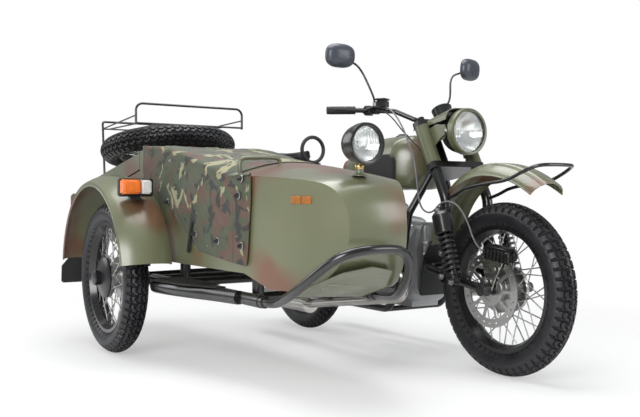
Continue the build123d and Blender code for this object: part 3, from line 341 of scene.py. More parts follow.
def tyre_mesh():
    """One tyre about the Y axis: the section is turned in short steps and cut by the tread."""
    section = TYRE_SECTION + [(0.0, TYRE_CROWN)] + [(-y, r) for y, r in reversed(TYRE_SECTION)]
    verts = []
    for step in range(TREAD_STEPS):
        turn = step / TREAD_STEPS
        angle = turn * math.tau
        for y, r in section:
            cut = tread_depth(turn, y)
            slope = min(1, max(0, (abs(y) - 0.03) / 0.03))
            reach = r - cut * (1 - 0.5 * slope)
            inward = math.copysign(cut * slope * 0.6, y)
            verts.append((math.cos(angle) * reach, y - inward, math.sin(angle) * reach))
    count = len(section)
    mesh = bpy.data.meshes.new("tyre")
    mesh.from_pydata(verts, [], ring_faces(TREAD_STEPS, count, wrap=True))
    mesh.polygons.foreach_set("use_smooth", [abs(verts[f.vertices[0]][1]) > 0.048 for f in mesh.polygons])
    # Faces deep in the grooves take the second, near-black material: painted shade in the recesses.
    deep = []
    for face in mesh.polygons:
        step, k = divmod(face.index, count)
        cuts = [tread_depth(step / TREAD_STEPS, y) for y, r in section[k:k + 2]]
        deep.append(int(len(cuts) == 2 and min(cuts) > 0.3 * TREAD_DEPTH))
    mesh.polygons.foreach_set("material_index", deep)
    return mesh


tyre_rubber = finish(
    "tyre_rubber", (0.014, 0.014, 0.0165), 0.42, scale=420, relief=0.12, variation=0.35,
    patches=16)
# Painted shade: near black for the groove floors, darker than the rubber they are cut in.
groove_painted_shade = finish(
    "groove_painted_shade", (0.002, 0.002, 0.0025), 0.8, scale=420, relief=0.1, variation=0.3)
tread = tyre_mesh()
tread.materials.append(tyre_rubber)
tread.materials.append(groove_painted_shade)
SPARE_TILT = math.atan(0.1643)
for wheel in ("front", "rear", "sidecar", "spare"):
    low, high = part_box(wheel + "_tyre")
    tyre = bpy.data.objects.new(wheel + "_tread", tread)
    bpy.context.scene.collection.objects.link(tyre)
    tyre.location = (low + high) / 2
    if wheel == "spare":
        lie = Matrix.Rotation(-SPARE_TILT, 4, "Y") @ Matrix.Rotation(math.pi / 2, 4, "X")
        tyre.rotation_euler = lie.to_euler()
    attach(tyre, "trunk_lid" if wheel == "spare" else wheel + "_wheel")
    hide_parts(wheel + "_tyre")

# Camouflage paint: satin olive over the steel, with rust brown clouds sprayed on freehand. Small
# fittings are plain olive.
OLIVE = (0.135, 0.143, 0.078)
RUST = (0.150, 0.068, 0.036)
clouds, clouds_in, clouds_out = node_group(
    "sprayed clouds", {"Ground": COLOUR, "Cloud": COLOUR, "Scale": NUMBER, "Cover": NUMBER},
    {"Color": COLOUR})
clouds_place = shader_node(clouds, "TexCoord").outputs["Object"]
clouds_shift = shader_node(clouds, "VectorMath", {0: clouds_place, 1: (3.1, 1.7, 5.4)}, operation="ADD")
clouds_noise = shader_node(
    clouds, "TexNoise", {"Vector": clouds_shift, "Scale": clouds_in["Scale"], "Detail": 1.5,
    "Roughness": 0.35})
clouds_soft = shader_node(clouds, "Math", {0: clouds_in["Cover"], 1: 0.14}, operation="ADD")
clouds_edge = shader_node(
    clouds, "MapRange", {"Value": clouds_noise, "From Min": clouds_in["Cover"], "From Max": clouds_soft},
    interpolation_type="SMOOTHSTEP")
clouds_mix = shader_node(
    clouds, "Mix", {"Factor": clouds_edge, "A": clouds_in["Ground"], "B": clouds_in["Cloud"]},
    data_type="RGBA")
clouds.links.new(clouds_mix.outputs["Result"], clouds_out["Color"])
body_paint = finish(
    "body_paint", OLIVE, 0.36, scale=900, relief=0.02, variation=0.06, patches=5, coat=0.8)
paint_tree = body_paint.node_tree
spray = shader_node(
    paint_tree, "Group", {"Ground": (*OLIVE, 1), "Cloud": (*RUST, 1), "Scale": 3.1, "Cover": 0.518},
    node_tree=clouds)
paint_tree.links.new(spray.outputs["Color"], paint_tree.nodes["grain"].inputs["Color"])
plain_olive = finish(
    "plain_olive", (0.105, 0.114, 0.060), 0.32, scale=900, relief=0.02, variation=0.08,
    coat=0.7)
dress(body_paint, "sidecar_tub", "trunk_lid", "sidecar_fender", "front_fender", "rear_fender", "fuel_tank")
dress(plain_olive, "nacelle", "grab_rail")

# Engine and exhaust: sand cast alloy, dull grey with oil in its corners, and bright steel pipes. A
# cast generator housing with two clamping bands and cooling ribs stands on the front cover.
cast_alloy = finish(
    "cast_alloy", (0.40, 0.405, 0.415), 0.38, metal=0.4, scale=600, relief=0.25,
    variation=0.16, patches=12)
bright_steel = finish(
    "bright_steel", (0.62, 0.60, 0.57), 0.2, metal=1.0, scale=300, relief=0.02)
dress(cast_alloy, "engine_block", "cylinders", "intakes", "front_caliper")
dress(bright_steel, "exhaust")
GENERATOR_X, GENERATOR_R = 1.012, 0.064
lathe(
    "generator_shell", [(0, 0.060), (0.010, GENERATOR_R), (0.150, GENERATOR_R), (0.162, 0.060),
    (0.168, 0.050)], (GENERATOR_X, 0, 0.425), (0, 0, 1), cast_alloy, "chassis", steps=64)
for z in (0.455, 0.505):
    lathe(
        "generator_band", [(0, 0.0642), (0.001, 0.0665), (0.013, 0.0665), (0.014, 0.0642)],
        (GENERATOR_X, 0, z), (0, 0, 1), bright_steel, "chassis", steps=64)
for k in range(9):
    angle = math.radians(-80 + 20 * k)
    edge = at(GENERATOR_X + 0.0635 * math.cos(angle), 0.0635 * math.sin(angle), 0.520)
    ribbon("generator_rib", [edge, edge + Vector((0, 0, 0.060))], 0.0022, cast_alloy, "chassis")

# Spring units: black wound springs over dampers, each bolted between two eyes. They carry the
# front loop, the rear swingarm and the sidecar's trailing arm. Plated bolts close the fork's pivots.
COIL_STEPS = 20
spring_black = finish(
    "spring_black", (0.016, 0.016, 0.017), 0.28, relief=0.02, variation=0.15, coat=0.3)
zinc_bolt = finish("zinc_bolt", (0.44, 0.44, 0.42), 0.35, metal=1.0, scale=700, relief=0.05)


def spring_strut(name, low, top, coil, rod, start, end, turns, eye, body, shroud=0):
    """A damper between two eyes with its wound spring and the cups that hold it."""
    low, top = at(*low), at(*top)
    along = top - low
    length = along.length
    across = Vector((0, 1, 0))
    aside = along.normalized().cross(across)
    steps = turns * COIL_STEPS
    wire = coil * 0.085
    if shroud:
        lathe(
            name + "_shroud", [(length - shroud, coil / 2 + 0.003),
            (length - shroud + 0.002, coil / 2 + 0.005), (length - 0.02, coil / 2 + 0.005),
            (length - 0.008, coil / 2 - 0.004), (length - 0.004, 0.012)], low, along, spring_black, body)
    winding = []
    for step in range(steps + 1):
        angle = step / COIL_STEPS * math.tau
        place = low + along.normalized() * (start + (end - start) * step / steps)
        winding.append(place + (across * math.cos(angle) + aside * math.sin(angle)) * (coil / 2 - wire))
    ribbon(name + "_spring", winding, wire, spring_black, body)
    lathe(
        name + "_damper", [(0.0, rod * 0.6), (start - 0.012, rod * 0.62), (start - 0.012, coil * 0.52),
        (start - 0.004, coil * 0.52), (start - 0.004, rod * 0.55), (length * 0.62, rod * 0.55),
        (length * 0.62, rod * 0.3), (end + 0.004, rod * 0.3), (end + 0.004, coil * 0.52),
        (end + 0.013, coil * 0.5), (end + 0.02, rod * 0.7), (length, rod * 0.6)], low, along,
        spring_black, body)
    for place in (low, top):
        lathe(name + "_eye", [(-eye, 0.011), (-eye, 0.0155), (eye, 0.0155), (eye, 0.011)], place, (0, 1, 0),
              black_enamel, body, steps=28)
        for turn in (-1, 1):
            lathe(
                name + "_bolt", [(eye - 0.001, 0.0095), (eye + 0.007, 0.0095)], place, (0, turn, 0),
                zinc_bolt, body, steps=6, smooth=False)


for tag, side in (("left", 1), ("right", -1)):
    spring_strut(
        "front_" + tag, (1.387, side * 0.168, 0.372), (1.303, side * 0.168, 0.656), 0.070, 0.026, 0.040,
        0.236, 9, 0.015, "steering", shroud=0.095)
    spring_strut(
        "rear_" + tag, (0.060, side * 0.184, 0.339), (0.020, side * 0.184, 0.756), 0.062, 0.028, 0.086,
        0.330, 10, 0.016, "chassis")
spring_strut(
    "sidecar", (0.230, -1.022, 0.3626), (0.240, -1.022, 0.640), 0.056, 0.024, 0.046, 0.232, 8, 0.016,
    "chassis")
for piece, node in (
        ("front_left", "fork_shocks"), ("rear_left", "rear_shocks"), ("sidecar", "sidecar_shock")):
    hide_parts(node)
for x, y, z in ((1.387, 0.186, 0.372), (1.303, 0.186, 0.656), (1.287, 0.150, 0.385), (1.287, 0.150, 0.480)):
    for side in (1, -1):
        lathe(
            "fork_bolt", [(-0.004, 0.0135), (0.002, 0.0135), (0.0022, 0.0095), (0.009, 0.0095),
            (0.0105, 0.007)], (x, side * y, z), (0, side, 0), zinc_bolt, "steering", steps=6,
            smooth=False)

# Saddles: black leather over rubber foam, one for the rider and one behind, pear shaped, with a
# piped seam round the rim.
saddle_leather = finish(
    "saddle_leather", (0.016, 0.0155, 0.015), 0.36, scale=340, relief=0.35,
    variation=0.2, patches=14, coat=0.1)


def saddle(name, front, rear, top, width):
    """A pear shaped pad: narrow nose in front, round and wide behind, with a dished top."""
    rows, ring = 44, 56
    verts, rim = [], []
    for row in range(rows):
        t = 0.5 - 0.5 * math.cos(math.pi * (row + 0.5) / rows)
        spread = min(1, max(0, (t - 0.08) / 0.62))
        half = 0.030 + (width / 2 - 0.030) * spread * spread * (3 - 2 * spread)
        half *= math.sqrt(
            max(0.02, 1 - max(0, (t - 0.78) / 0.22) ** 2.4)) * math.sqrt(min(1, 0.15 + t / 0.09))
        x = front - (front - rear) * t
        dish = -0.010 * math.sin(math.pi * min(1, t / 0.85))
        for k in range(ring):
            angle = k / ring * math.tau
            c, s = math.cos(angle), math.sin(angle)
            y = half * math.copysign(abs(c) ** 0.72, c)
            z = math.copysign(abs(s) ** 0.6, s) * (0.024 if s > 0 else 0.032)
            z += dish * (1 - (y / max(half, 0.01)) ** 2) * (s > 0) - 0.012 * (y / (width / 2)) ** 2
            crease = 0.0012 * noise.noise(Vector((x * 30, y * 30, 0.3)))
            verts.append(at(x, y, top - 0.028 + z + crease))
            if k in (0, ring // 2):
                rim.append((k, at(x, y * 1.012, top - 0.034 - 0.012 * (y / (width / 2)) ** 2)))
    ends = [tuple(reversed(face)) for face in end_faces(rows, ring)]
    pad = solid(name + "_pad", verts, ring_faces(rows, ring) + ends, saddle_leather, "chassis", smooth=True)
    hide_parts(name)
    around = [place for k, place in rim if k == 0] + [place for k, place in reversed(rim) if k]
    ribbon(name + "_piping", around, 0.0035, saddle_leather, "chassis", closed=True)


saddle("rider_saddle", 0.428, 0.132, 0.850, 0.284)
saddle("pillion_saddle", 0.010, -0.328, 0.970, 0.268)

# Rubber: the passenger's ring, the knee pads, the mud flaps and the grips.
black_rubber = finish(
    "black_rubber", (0.020, 0.020, 0.021), 0.55, scale=500, relief=0.1, variation=0.2)
dress(black_rubber, "grab_ring", "knee_pads", "front_mudflap", "sidecar_mudflap", "hand_controls")

# Canvas cover: a cotton duck sheet stretched over the cockpit and down its outer side. It is printed
# with woodland patches and held by turn buttons and a strap.
canvas, print_tree, print_shader = new_material("woodland_canvas")
print_place = shader_node(print_tree, "TexCoord").outputs["Object"]
print_colour = shader_node(print_tree, "RGB").outputs[0]
print_colour.default_value = (0.044, 0.058, 0.027, 1)
for shift, scale, limit, colour in (
        ((4.3, 1.2, 0.4), 9.0, 0.535, (0.085, 0.044, 0.026)),
        ((9.1, 2.6, 7.7), 12.0, 0.56, (0.010, 0.011, 0.009)),
        ((2.2, 8.4, 3.9), 9.5, 0.60, (0.27, 0.26, 0.15))):
    print_shift = shader_node(print_tree, "VectorMath", {0: print_place, 1: shift}, operation="ADD")
    print_noise = shader_node(
        print_tree, "TexNoise", {"Vector": print_shift, "Scale": scale, "Detail": 3.5, "Roughness": 0.5,
        "Distortion": 0.9})
    print_edge = shader_node(
        print_tree, "MapRange", {"Value": print_noise, "From Min": limit, "From Max": limit + 0.012})
    print_mix = shader_node(
        print_tree, "Mix", {"Factor": print_edge, "A": print_colour, "B": (*colour, 1)}, data_type="RGBA")
    print_colour = print_mix.outputs["Result"]
weave = shader_node(print_tree, "TexNoise", {"Vector": print_place, "Scale": 700})
weave_bump = shader_node(print_tree, "Bump", {"Strength": 0.35, "Distance": 0.001, "Height": weave})
feed(print_tree, print_shader, {
    "Base Color": print_colour, "Normal": weave_bump, "Roughness": 0.78, "Sheen Weight": 0.15})


def smooth_step(low, high, value):
    """0 below low, 1 above high, and an easy slope between them."""
    span = min(1, max(0, (value - low) / (high - low)))
    return span * span * (3 - 2 * span)


def cloth_low(x):
    """The lower edge of the outer flap at a place along the cockpit."""
    edge = 0.790 - 0.4269 * (x - 0.168) if x < 0.763 else 0.536 - 0.0859 * (x - 0.763)
    return edge - 0.045 * smooth_step(0.40, 0.80, x) + 0.26 * smooth_step(1.165, 1.21, x) ** 2


def cloth_fold(x, y, z):
    """How far the cloth stands off, in soft slack folds that run slantwise from its fastenings."""
    slack = noise.noise(Vector((x * 2.1 + z * 2.6, y * 2.3, z * 1.7 + 4.0)))
    fold = noise.noise(Vector((x * 7.0 - z * 9.0, y * 5.0, 1.3)))
    crease = 1 - abs(noise.noise(Vector((x * 11.0 + z * 14.0, y * 12.0, 6.1))) * 2)
    return 0.006 * slack + 0.005 * fold + 0.003 * max(0, crease) ** 3


def cloth_over(x, u, top):
    """A place on the cover's top, a share u of the way across. It is drawn down onto the cowl."""
    y = CLOTH_IN + (CLOTH_OUT - CLOTH_IN) * u
    sag = 0.016 * math.sin(math.pi * u) ** 2 * math.sin(math.pi * min(1, max(0, (x - 0.15) / 0.92)))
    lift = 0.010 * math.sin(math.pi * u) ** 0.5 - sag
    droop = smooth_step(0.30, 1.04, x) * (0.014 + 0.054 * (2 * u - 1) ** 2)
    away = smooth_step(0.20, 0.42, x)
    cowl = 0.849 - 0.77 * (y + 0.72) ** 2
    tight = smooth_step(0.90, COWL_REAR, x)
    loose = 1 - tight
    fold = (0.25 + 0.75 * away) * cloth_fold(x, y, top) * min(
        1, 8 * u, 8 * (1 - u), 12 * max(0, COWL_REAR - x))
    z = (top - droop) * loose + cowl * tight - 0.008 * loose + (lift * loose + 0.008 * loose) * away + fold
    return Vector((x, y, z))


CLOTH_IN, CLOTH_OUT = -0.4440, -0.9965
COWL_REAR = 1.045
CLOTH_X = [0.152 + 1.053 * step / 170 for step in range(171)]
CLOTH_CREST, CLOTH_FALL = 0.957, 0.103
CLOTH_END, CLOTH_TOP_POINTS = 1.078, 36
rows = []
for x in CLOTH_X:
    top = CLOTH_CREST - CLOTH_FALL * (min(x, 1.062) - 0.168)
    over = [cloth_over(x, step / 30, top) for step in range(31)]
    tub_side = -0.0064 * max(0, (x - 1.0) / 0.15) ** 2
    top -= 0.068 * smooth_step(0.30, 1.04, x)
    upper = top - 0.012 - (top - 0.012 - 0.800) * smooth_step(1.058, 1.095, x)
    flap = []
    for step in range(45):
        v = (step + 0.4) / 44.4
        z = upper + (cloth_low(x) - upper) * v
        stand = 0.5 + 0.5 * math.sin(math.pi * v) if x < 1.08 else 0.25
        y = CLOTH_OUT - tub_side * 0.6 + 0.0025 - max(-0.001, cloth_fold(x, CLOTH_OUT, z)) * stand
        flap.append(Vector((x, y, z)))
    hem = [Vector((x, CLOTH_IN - 0.0005, top - 0.004 - 0.0165 * k)) for k in range(5, -1, -1)]
    rows.append(hem + over + flap)
width = len(rows[0])
faces = []
for column in range(len(rows) - 1):
    for k in range(CLOTH_TOP_POINTS if CLOTH_X[column] >= CLOTH_END else 0, width - 1):
        near, far = column * width + k, (column + 1) * width + k
        faces.append((near, near + 1, far + 1, far))
cover_mesh = bpy.data.meshes.new("cockpit_cover")
cover_mesh.from_pydata([at(*place) for row in rows for place in row], [], faces)
cover_form = bmesh.new()
cover_form.from_mesh(cover_mesh)
bmesh.ops.delete(cover_form, geom=[v for v in cover_form.verts if not v.link_faces], context="VERTS")
cover_form.to_mesh(cover_mesh)
cover_form.free()
cover = add_piece("cockpit_cover", cover_mesh, canvas, "chassis", slot="camo_canvas", smooth=True)
cloth_thick = cover.modifiers.new("cloth", "SOLIDIFY")
cloth_thick.thickness = 0.0018
cloth_thick.offset = 0
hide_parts("tonneau_cover")
button_black = finish("button_black", (0.015, 0.015, 0.015), 0.35, relief=0.02)
for x, z in ((1.128, 0.716), (1.152, 0.530), (0.952, 0.540), (0.745, 0.560), (0.455, 0.690), (0.225, 0.782),
        (1.150, 0.778)):
    stud = (x, CLOTH_OUT - 0.006, z)
    lathe(
        "turn_button", [(-0.004, 0.011), (0.003, 0.011), (0.006, 0.007), (0.012, 0.006), (0.014, 0.0035)],
        stud, (0, -1, 0), button_black, "chassis", steps=24)
    lathe("button_ring", [(-0.005, 0.0145), (-0.002, 0.0145), (-0.0005, 0.0125), (-0.002, 0.0108)], stud,
          (0, -1, 0), zinc_bolt, "chassis", steps=32, ends=False)


def panel(name, outline, thick, material, body, bevel=0.0015):
    """A flat plate: its outline is given as places in order, and it is as thick as stated."""
    form = bmesh.new()
    face = form.faces.new([form.verts.new(at(*place)) for place in outline])
    face.normal_update()
    grown = bmesh.ops.extrude_face_region(form, geom=[face])
    corners = [part for part in grown["geom"] if isinstance(part, bmesh.types.BMVert)]
    bmesh.ops.translate(form, vec=face.normal * thick, verts=corners)
    bmesh.ops.recalc_face_normals(form, faces=form.faces)
    if bevel:
        bmesh.ops.bevel(
            form, geom=list(form.edges), offset=bevel, segments=2, affect="EDGES", clamp_overlap=True)
    mesh = bpy.data.meshes.new(name)
    form.to_mesh(mesh)
    form.free()
    return add_piece(name, mesh, material, body)


strap_web = finish("strap_web", (0.010, 0.010, 0.010), 0.6, scale=900, relief=0.2)
panel(
    "cover_strap", [(x, -0.9985, z) for x, z in ((0.700, 0.600), (0.728, 0.612), (0.690, 0.478),
    (0.662, 0.484))], 0.004, strap_web, "chassis")

# Lamps: pressed steel bowls with a plated reflector, a bulb and a fluted glass lens held by a ring.
# The head lamp's ring is olive, and the search lamp on the nose is black with a brass collar.
mirror_plate = finish(
    "mirror_plate", (0.90, 0.90, 0.89), 0.12, metal=0.8, relief=0.0, variation=0.02)
lamp_black = finish("lamp_black", (0.010, 0.010, 0.011), 0.18, relief=0.01, coat=0.5)
brass = finish("brass", (0.52, 0.36, 0.14), 0.25, metal=1.0, relief=0.03)
bulb_glass = finish("bulb_glass", (0.9, 0.9, 0.86), 0.1, relief=0.0)
fluted, fluted_tree, fluted_shader = new_material("fluted_glass")
fluted_place = shader_node(fluted_tree, "TexCoord").outputs["Object"]
fluted_wave = shader_node(
    fluted_tree, "TexWave", {"Vector": fluted_place, "Scale": 26, "Distortion": 0.0}, bands_direction="Y")
fluted_bump = shader_node(
    fluted_tree, "Bump", {"Strength": 0.5, "Distance": 0.002, "Height": fluted_wave.outputs["Fac"]})
feed(
    fluted_tree, fluted_shader, {"Base Color": (0.96, 0.98, 0.98, 1), "Roughness": 0.02,
    "Transmission Weight": 1.0, "IOR": 1.3, "Normal": fluted_bump})
fluted_rays = shader_node(fluted_tree, "LightPath")
fluted_clear = shader_node(fluted_tree, "BsdfTransparent")
fluted_mix = shader_node(
    fluted_tree, "MixShader", {0: fluted_rays.outputs["Is Shadow Ray"], 1: fluted_shader,
    2: fluted_clear})
feed(fluted_tree, fluted_tree.nodes["Material Output"], {"Surface": fluted_mix})
for lamp, body, middle, radius, deep, ring in (
        ("headlamp", "steering", (1.290, 0, 0.985), 0.096, 0.081, plain_olive),
        ("spotlight", "chassis", (1.600, -0.750, 0.892), 0.070, 0.063, lamp_black)):
    dress(lamp_black, lamp)
    dress(fluted, lamp + "_lens")
    bowl = radius - 0.0125
    mirror = [(-deep + (deep - 0.0165) * (k / 10) ** 2, max(0.004, bowl * k / 10)) for k in range(11)]
    lathe(
        lamp + "_reflector", mirror + [(-0.0158, bowl + 0.0005), (-0.0175, bowl + 0.0005)], middle,
        (1, 0, 0), mirror_plate, body, ends=False)
    lathe(
        lamp + "_bulb", [(-deep + 0.002, 0.010), (-deep + 0.022, 0.010), (-deep + 0.024, 0.006),
        (-deep + 0.032, 0.0085), (-deep + 0.040, 0.006), (-deep + 0.044, 0.001)], middle, (1, 0, 0),
        bulb_glass, body, steps=24)
    lathe(
        lamp + "_ring", [(-0.029, radius - 0.003), (-0.029, radius + 0.0015), (-0.010, radius + 0.003),
        (0.003, radius + 0.001), (0.0055, radius - 0.004), (0.0045, radius - 0.0095),
        (0.0005, radius - 0.0098)], middle, (1, 0, 0), ring, body, slot="olive_paint", steps=72,
        ends=False)
for side in (-1, 1):
    lathe(
        "ear_screw", [(0, 0.009), (0.004, 0.009), (0.006, 0.006)], (1.257, side * 0.0985, 0.985),
        (0, side, 0), zinc_bolt, "steering", steps=24)
lathe("post_collar", [(0, 0.0155), (0.004, 0.017), (0.010, 0.017), (0.014, 0.0155)], (1.554, -0.750, 0.806),
      (0, 0, 1), brass, "chassis", steps=32)
lathe("post_foot", [(0, 0.026), (0.004, 0.026), (0.010, 0.015), (0.024, 0.0145)], (1.554, -0.750, 0.782),
      (0, 0, 1), plain_olive, "chassis", steps=40)
lathe("post_knob", [(0, 0.010), (0.012, 0.010), (0.014, 0.007), (0.022, 0.007), (0.024, 0.004)],
      (1.490, -0.750, 0.892), (-1, 0, 0), lamp_black, "chassis", steps=24)

# Mirrors: grey moulded shells with rounded corners on bent rods, each with its glass to the rear.
mirror_shell = finish(
    "mirror_shell", (0.055, 0.062, 0.078), 0.32, scale=900, relief=0.05, variation=0.08)
MIRROR_RING = 48
MIRROR_BOWL = (
    (-0.014, 0.90), (-0.014, 0.985), (-0.008, 1.0), (0.0, 0.985), (0.010, 0.93), (0.018, 0.80),
    (0.024, 0.58), (0.0265, 0.30), (0.0272, 0.02))
for tag, side, turn in (("left", 1, 0.30), ("right", -1, 0.0)):
    rod = ((0.904, 0.205, 1.106), (0.904, 0.205, 1.135), (0.915, 0.228, 1.170), (0.872, 0.262, 1.285),
           (0.880, 0.318, 1.306), (0.886, 0.352, 1.316))
    ribbon(
        tag + "_mirror_rod", [(x, side * y, z) for x, y, z in rod], 0.0048, lamp_black, "steering",
        order=3)
    lathe(
        tag + "_rod_nut", [(0, 0.010), (0.022, 0.010), (0.026, 0.006)], (0.904, side * 0.205, 1.108),
        (0, 0, 1), lamp_black, "steering", steps=6, smooth=False)
    swing = Matrix.Rotation(side * turn, 3, "Z") @ Matrix.Rotation(0.08, 3, "Y")
    verts = []
    for depth, share in MIRROR_BOWL:
        for k in range(MIRROR_RING):
            c, s = math.cos(k / MIRROR_RING * math.tau), math.sin(k / MIRROR_RING * math.tau)
            verts.append(at(0.888, side * 0.377, 1.325) + swing @ Vector(
                (depth, 0.073 * share * math.copysign(abs(c) ** 0.74, c),
                 0.052 * share * math.copysign(abs(s) ** 0.74, s))))
    glass = end_faces(len(MIRROR_BOWL), MIRROR_RING)[:1]
    head = solid(
        tag + "_mirror_head", verts, ring_faces(len(MIRROR_BOWL), MIRROR_RING) + glass, mirror_shell,
        "steering", smooth=True)
    head.data.materials.append(mirror_plate)
    head.data.polygons[-1].use_smooth = False
    head.data.polygons[-1].material_index = 1
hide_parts("mirrors")


# Fender lamps: a tapered orange and clear lens on a black base over a folded olive bracket. The
# marker on the nose and the red lamps over the rear wheels are made the same way.
def rounded_box(name, centre, size, bevel, material, body, turn=None, taper=1.0):
    """A moulded box with rounded edges. A taper under 1 narrows its outer side (+X)."""
    form = bmesh.new()
    bmesh.ops.create_cube(form, size=1)
    for corner in form.verts:
        if corner.co.x > 0:
            corner.co.y *= taper
            corner.co.z *= taper
        corner.co = Vector((corner.co.x * size[0], corner.co.y * size[1], corner.co.z * size[2]))
    bmesh.ops.bevel(
        form, geom=list(form.edges), offset=bevel, segments=3, affect="EDGES", clamp_overlap=True)
    if turn:
        bmesh.ops.rotate(form, verts=form.verts, cent=(0, 0, 0), matrix=turn)
    bmesh.ops.translate(form, verts=form.verts, vec=at(*centre))
    mesh = bpy.data.meshes.new(name)
    form.to_mesh(mesh)
    form.free()
    return add_piece(name, mesh, material, body, smooth=True, sharp=40)


def lamp_lens(name, colour, glow):
    """Moulded lens plastic with fine flutes inside."""
    material = finish(
        name, colour, 0.12, scale=60, relief=0.45, variation=0.15, patches=30, coat=0.6)
    tree = material.node_tree
    shader = tree.nodes["Principled BSDF"]
    feed(tree, shader, {
        "Subsurface Weight": glow, "Subsurface Radius": (0.02, 0.01, 0.005), "Subsurface Scale": 0.2})
    place = shader_node(tree, "TexCoord")
    flutes = shader_node(
        tree, "TexWave", {"Vector": place.outputs["Object"], "Scale": 70}, bands_direction="Z")
    tree.links.new(flutes.outputs["Fac"], tree.nodes["relief"].inputs["Height"])
    return material


amber = lamp_lens("amber_lens", (0.75, 0.16, 0.008), 0.3)
clear = lamp_lens("clear_lens", (0.62, 0.60, 0.57), 0.1)
red = lamp_lens("red_lens", (0.45, 0.015, 0.008), 0.2)
marker_amber = lamp_lens("marker_amber", (0.34, 0.11, 0.009), 0.2)
ahead = None
astern = Matrix.Rotation(math.pi, 3, "Z")
slant = Matrix.Rotation(math.radians(17.2), 3, "Z")
for name, centre, size, bevel, material, turn, taper in (
        ("front_lamp_amber", (0.526, -1.192, 0.754), (0.044, 0.086, 0.066), 0.006, amber, ahead, 0.86),
        ("front_lamp_clear", (0.522, -1.126, 0.754), (0.036, 0.050, 0.064), 0.006, clear, ahead, 0.86),
        ("front_lamp_base", (0.500, -1.162, 0.751), (0.022, 0.150, 0.076), 0.004, lamp_black, ahead, 1),
        ("front_lamp_bracket", (0.468, -1.162, 0.752), (0.044, 0.128, 0.078), 0.006, plain_olive, ahead, 1),
        ("front_lamp_foot", (0.512, -1.172, 0.706), (0.034, 0.05, 0.014), 0.003, lamp_black, ahead, 1),
        ("rear_lamp_lens", (-0.302, -1.160, 0.690), (0.036, 0.088, 0.078), 0.008, red, astern, 0.88),
        ("rear_lamp_base", (-0.272, -1.160, 0.690), (0.026, 0.090, 0.080), 0.005, plain_olive, ahead, 1),
        ("rear_lamp_bracket", (-0.262, -1.150, 0.640), (0.012, 0.060, 0.118), 0.003, plain_olive, ahead, 1),
        ("marker_rear_half", (1.4380, -0.9330, 0.700), (0.047, 0.013, 0.028), 0.003, marker_amber, slant, 1),
        ("marker_front_half", (1.4850, -0.9185, 0.700), (0.045, 0.013, 0.028), 0.003, marker_amber, slant, 1),
        ("marker_base", (1.4615, -0.9205, 0.700), (0.096, 0.010, 0.031), 0.002, lamp_black, slant, 1),
        ("tail_lens", (-0.387, 0, 0.560), (0.030, 0.100, 0.068), 0.009, red, astern, 0.9),
        ("tail_housing", (-0.361, 0, 0.560), (0.026, 0.108, 0.075), 0.006, lamp_black, ahead, 1)):
    rounded_box(name, centre, size, bevel, material, "chassis", turn=turn, taper=taper)
for piece, node in (
        ("front_lamp_amber", "fender_lamps"), ("marker_rear_half", "side_marker"),
        ("tail_lens", "tail_lamp")):
    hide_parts(node)

# Handlebar fittings: ribbed rubber grips, switch housings, the brake's fluid reservoir with its cap,
# and the speedometer in its black pod.
dress(lamp_black, "instrument")
BAR_SWEEP = 0.45
for side in (1, -1):
    sweep = Matrix.Rotation(side * -BAR_SWEEP, 3, "Z")
    rounded_box("switch_housing", (0.888, side * 0.228, 1.094), (0.040, 0.052, 0.042), 0.008, lamp_black,
                "steering", turn=sweep)
    rounded_box(
        "lever_perch", (0.905, side * 0.198, 1.096), (0.034, 0.040, 0.034), 0.007, lamp_black, "steering",
        turn=sweep)
    grip_low, grip_high = at(0.812, side * 0.392, 1.093), at(0.868, side * 0.262, 1.096)
    for k in range(14):
        lathe(
            "grip_ring", [(0, 0.0172), (0.001, 0.0180), (0.004, 0.0180), (0.005, 0.0172)],
            grip_low.lerp(grip_high, 0.06 + k * 0.058), grip_high - grip_low, black_rubber, "steering",
            steps=24)
sweep = Matrix.Rotation(BAR_SWEEP, 3, "Z")
rounded_box(
    "fluid_reservoir", (0.915, -0.172, 1.124), (0.046, 0.052, 0.036), 0.006, lamp_black, "steering",
    turn=sweep)
rounded_box(
    "reservoir_cap", (0.915, -0.172, 1.145), (0.050, 0.056, 0.008), 0.003, lamp_black, "steering",
    turn=sweep)
DIAL_RAKE = math.radians(27)
pod_face = Vector((-math.sin(DIAL_RAKE), 0, math.cos(DIAL_RAKE)))
pod_place = (1.1136, 0, 1.0936)
dial_white = finish("dial_white", (0.75, 0.75, 0.72), 0.4, relief=0.0, variation=0.03)
lathe(
    "dial_bezel", [(-0.006, 0.0445), (0.002, 0.0450), (0.004, 0.0430), (0.002, 0.0395)], pod_place,
    pod_face, lamp_black, "steering", ends=False)
lathe("dial_face", [(0.0003, 0.0385), (0.0010, 0.0385)], pod_place, pod_face, dial_white, "steering")

# Front brake: a black caliper with cooling fins on a bright bracket, fed by a grey hose that leaves
# the handlebar and hangs in a slack loop at the fork. Two black cables run down to the head.
caliper_black = finish("caliper_black", (0.012, 0.012, 0.012), 0.3, scale=700, relief=0.15)
lean = Matrix.Rotation(math.radians(8), 3, "Y")
for name, centre, size, bevel in (
        ("caliper_body", (1.560, -0.104, 0.487), (0.150, 0.030, 0.050), 0.010),
        ("caliper_back", (1.560, -0.062, 0.487), (0.120, 0.026, 0.044), 0.008),
        ("caliper_bridge", (1.558, -0.083, 0.512), (0.110, 0.060, 0.014), 0.005)):
    rounded_box(name, centre, size, bevel, caliper_black, "steering", turn=lean)
for k in range(6):
    rounded_box(
        "caliper_fin", (1.512 + 0.019 * k, -0.122, 0.4935 - 0.0027 * k), (0.005, 0.012, 0.040), 0.0015,
        caliper_black, "steering", turn=lean)
panel(
    "caliper_bracket", [(x, -0.096, z) for x, z in ((1.485, 0.335), (1.520, 0.345), (1.545, 0.400),
    (1.585, 0.462), (1.560, 0.500), (1.485, 0.508), (1.462, 0.470), (1.482, 0.400))], 0.006, bright_steel,
    "steering")
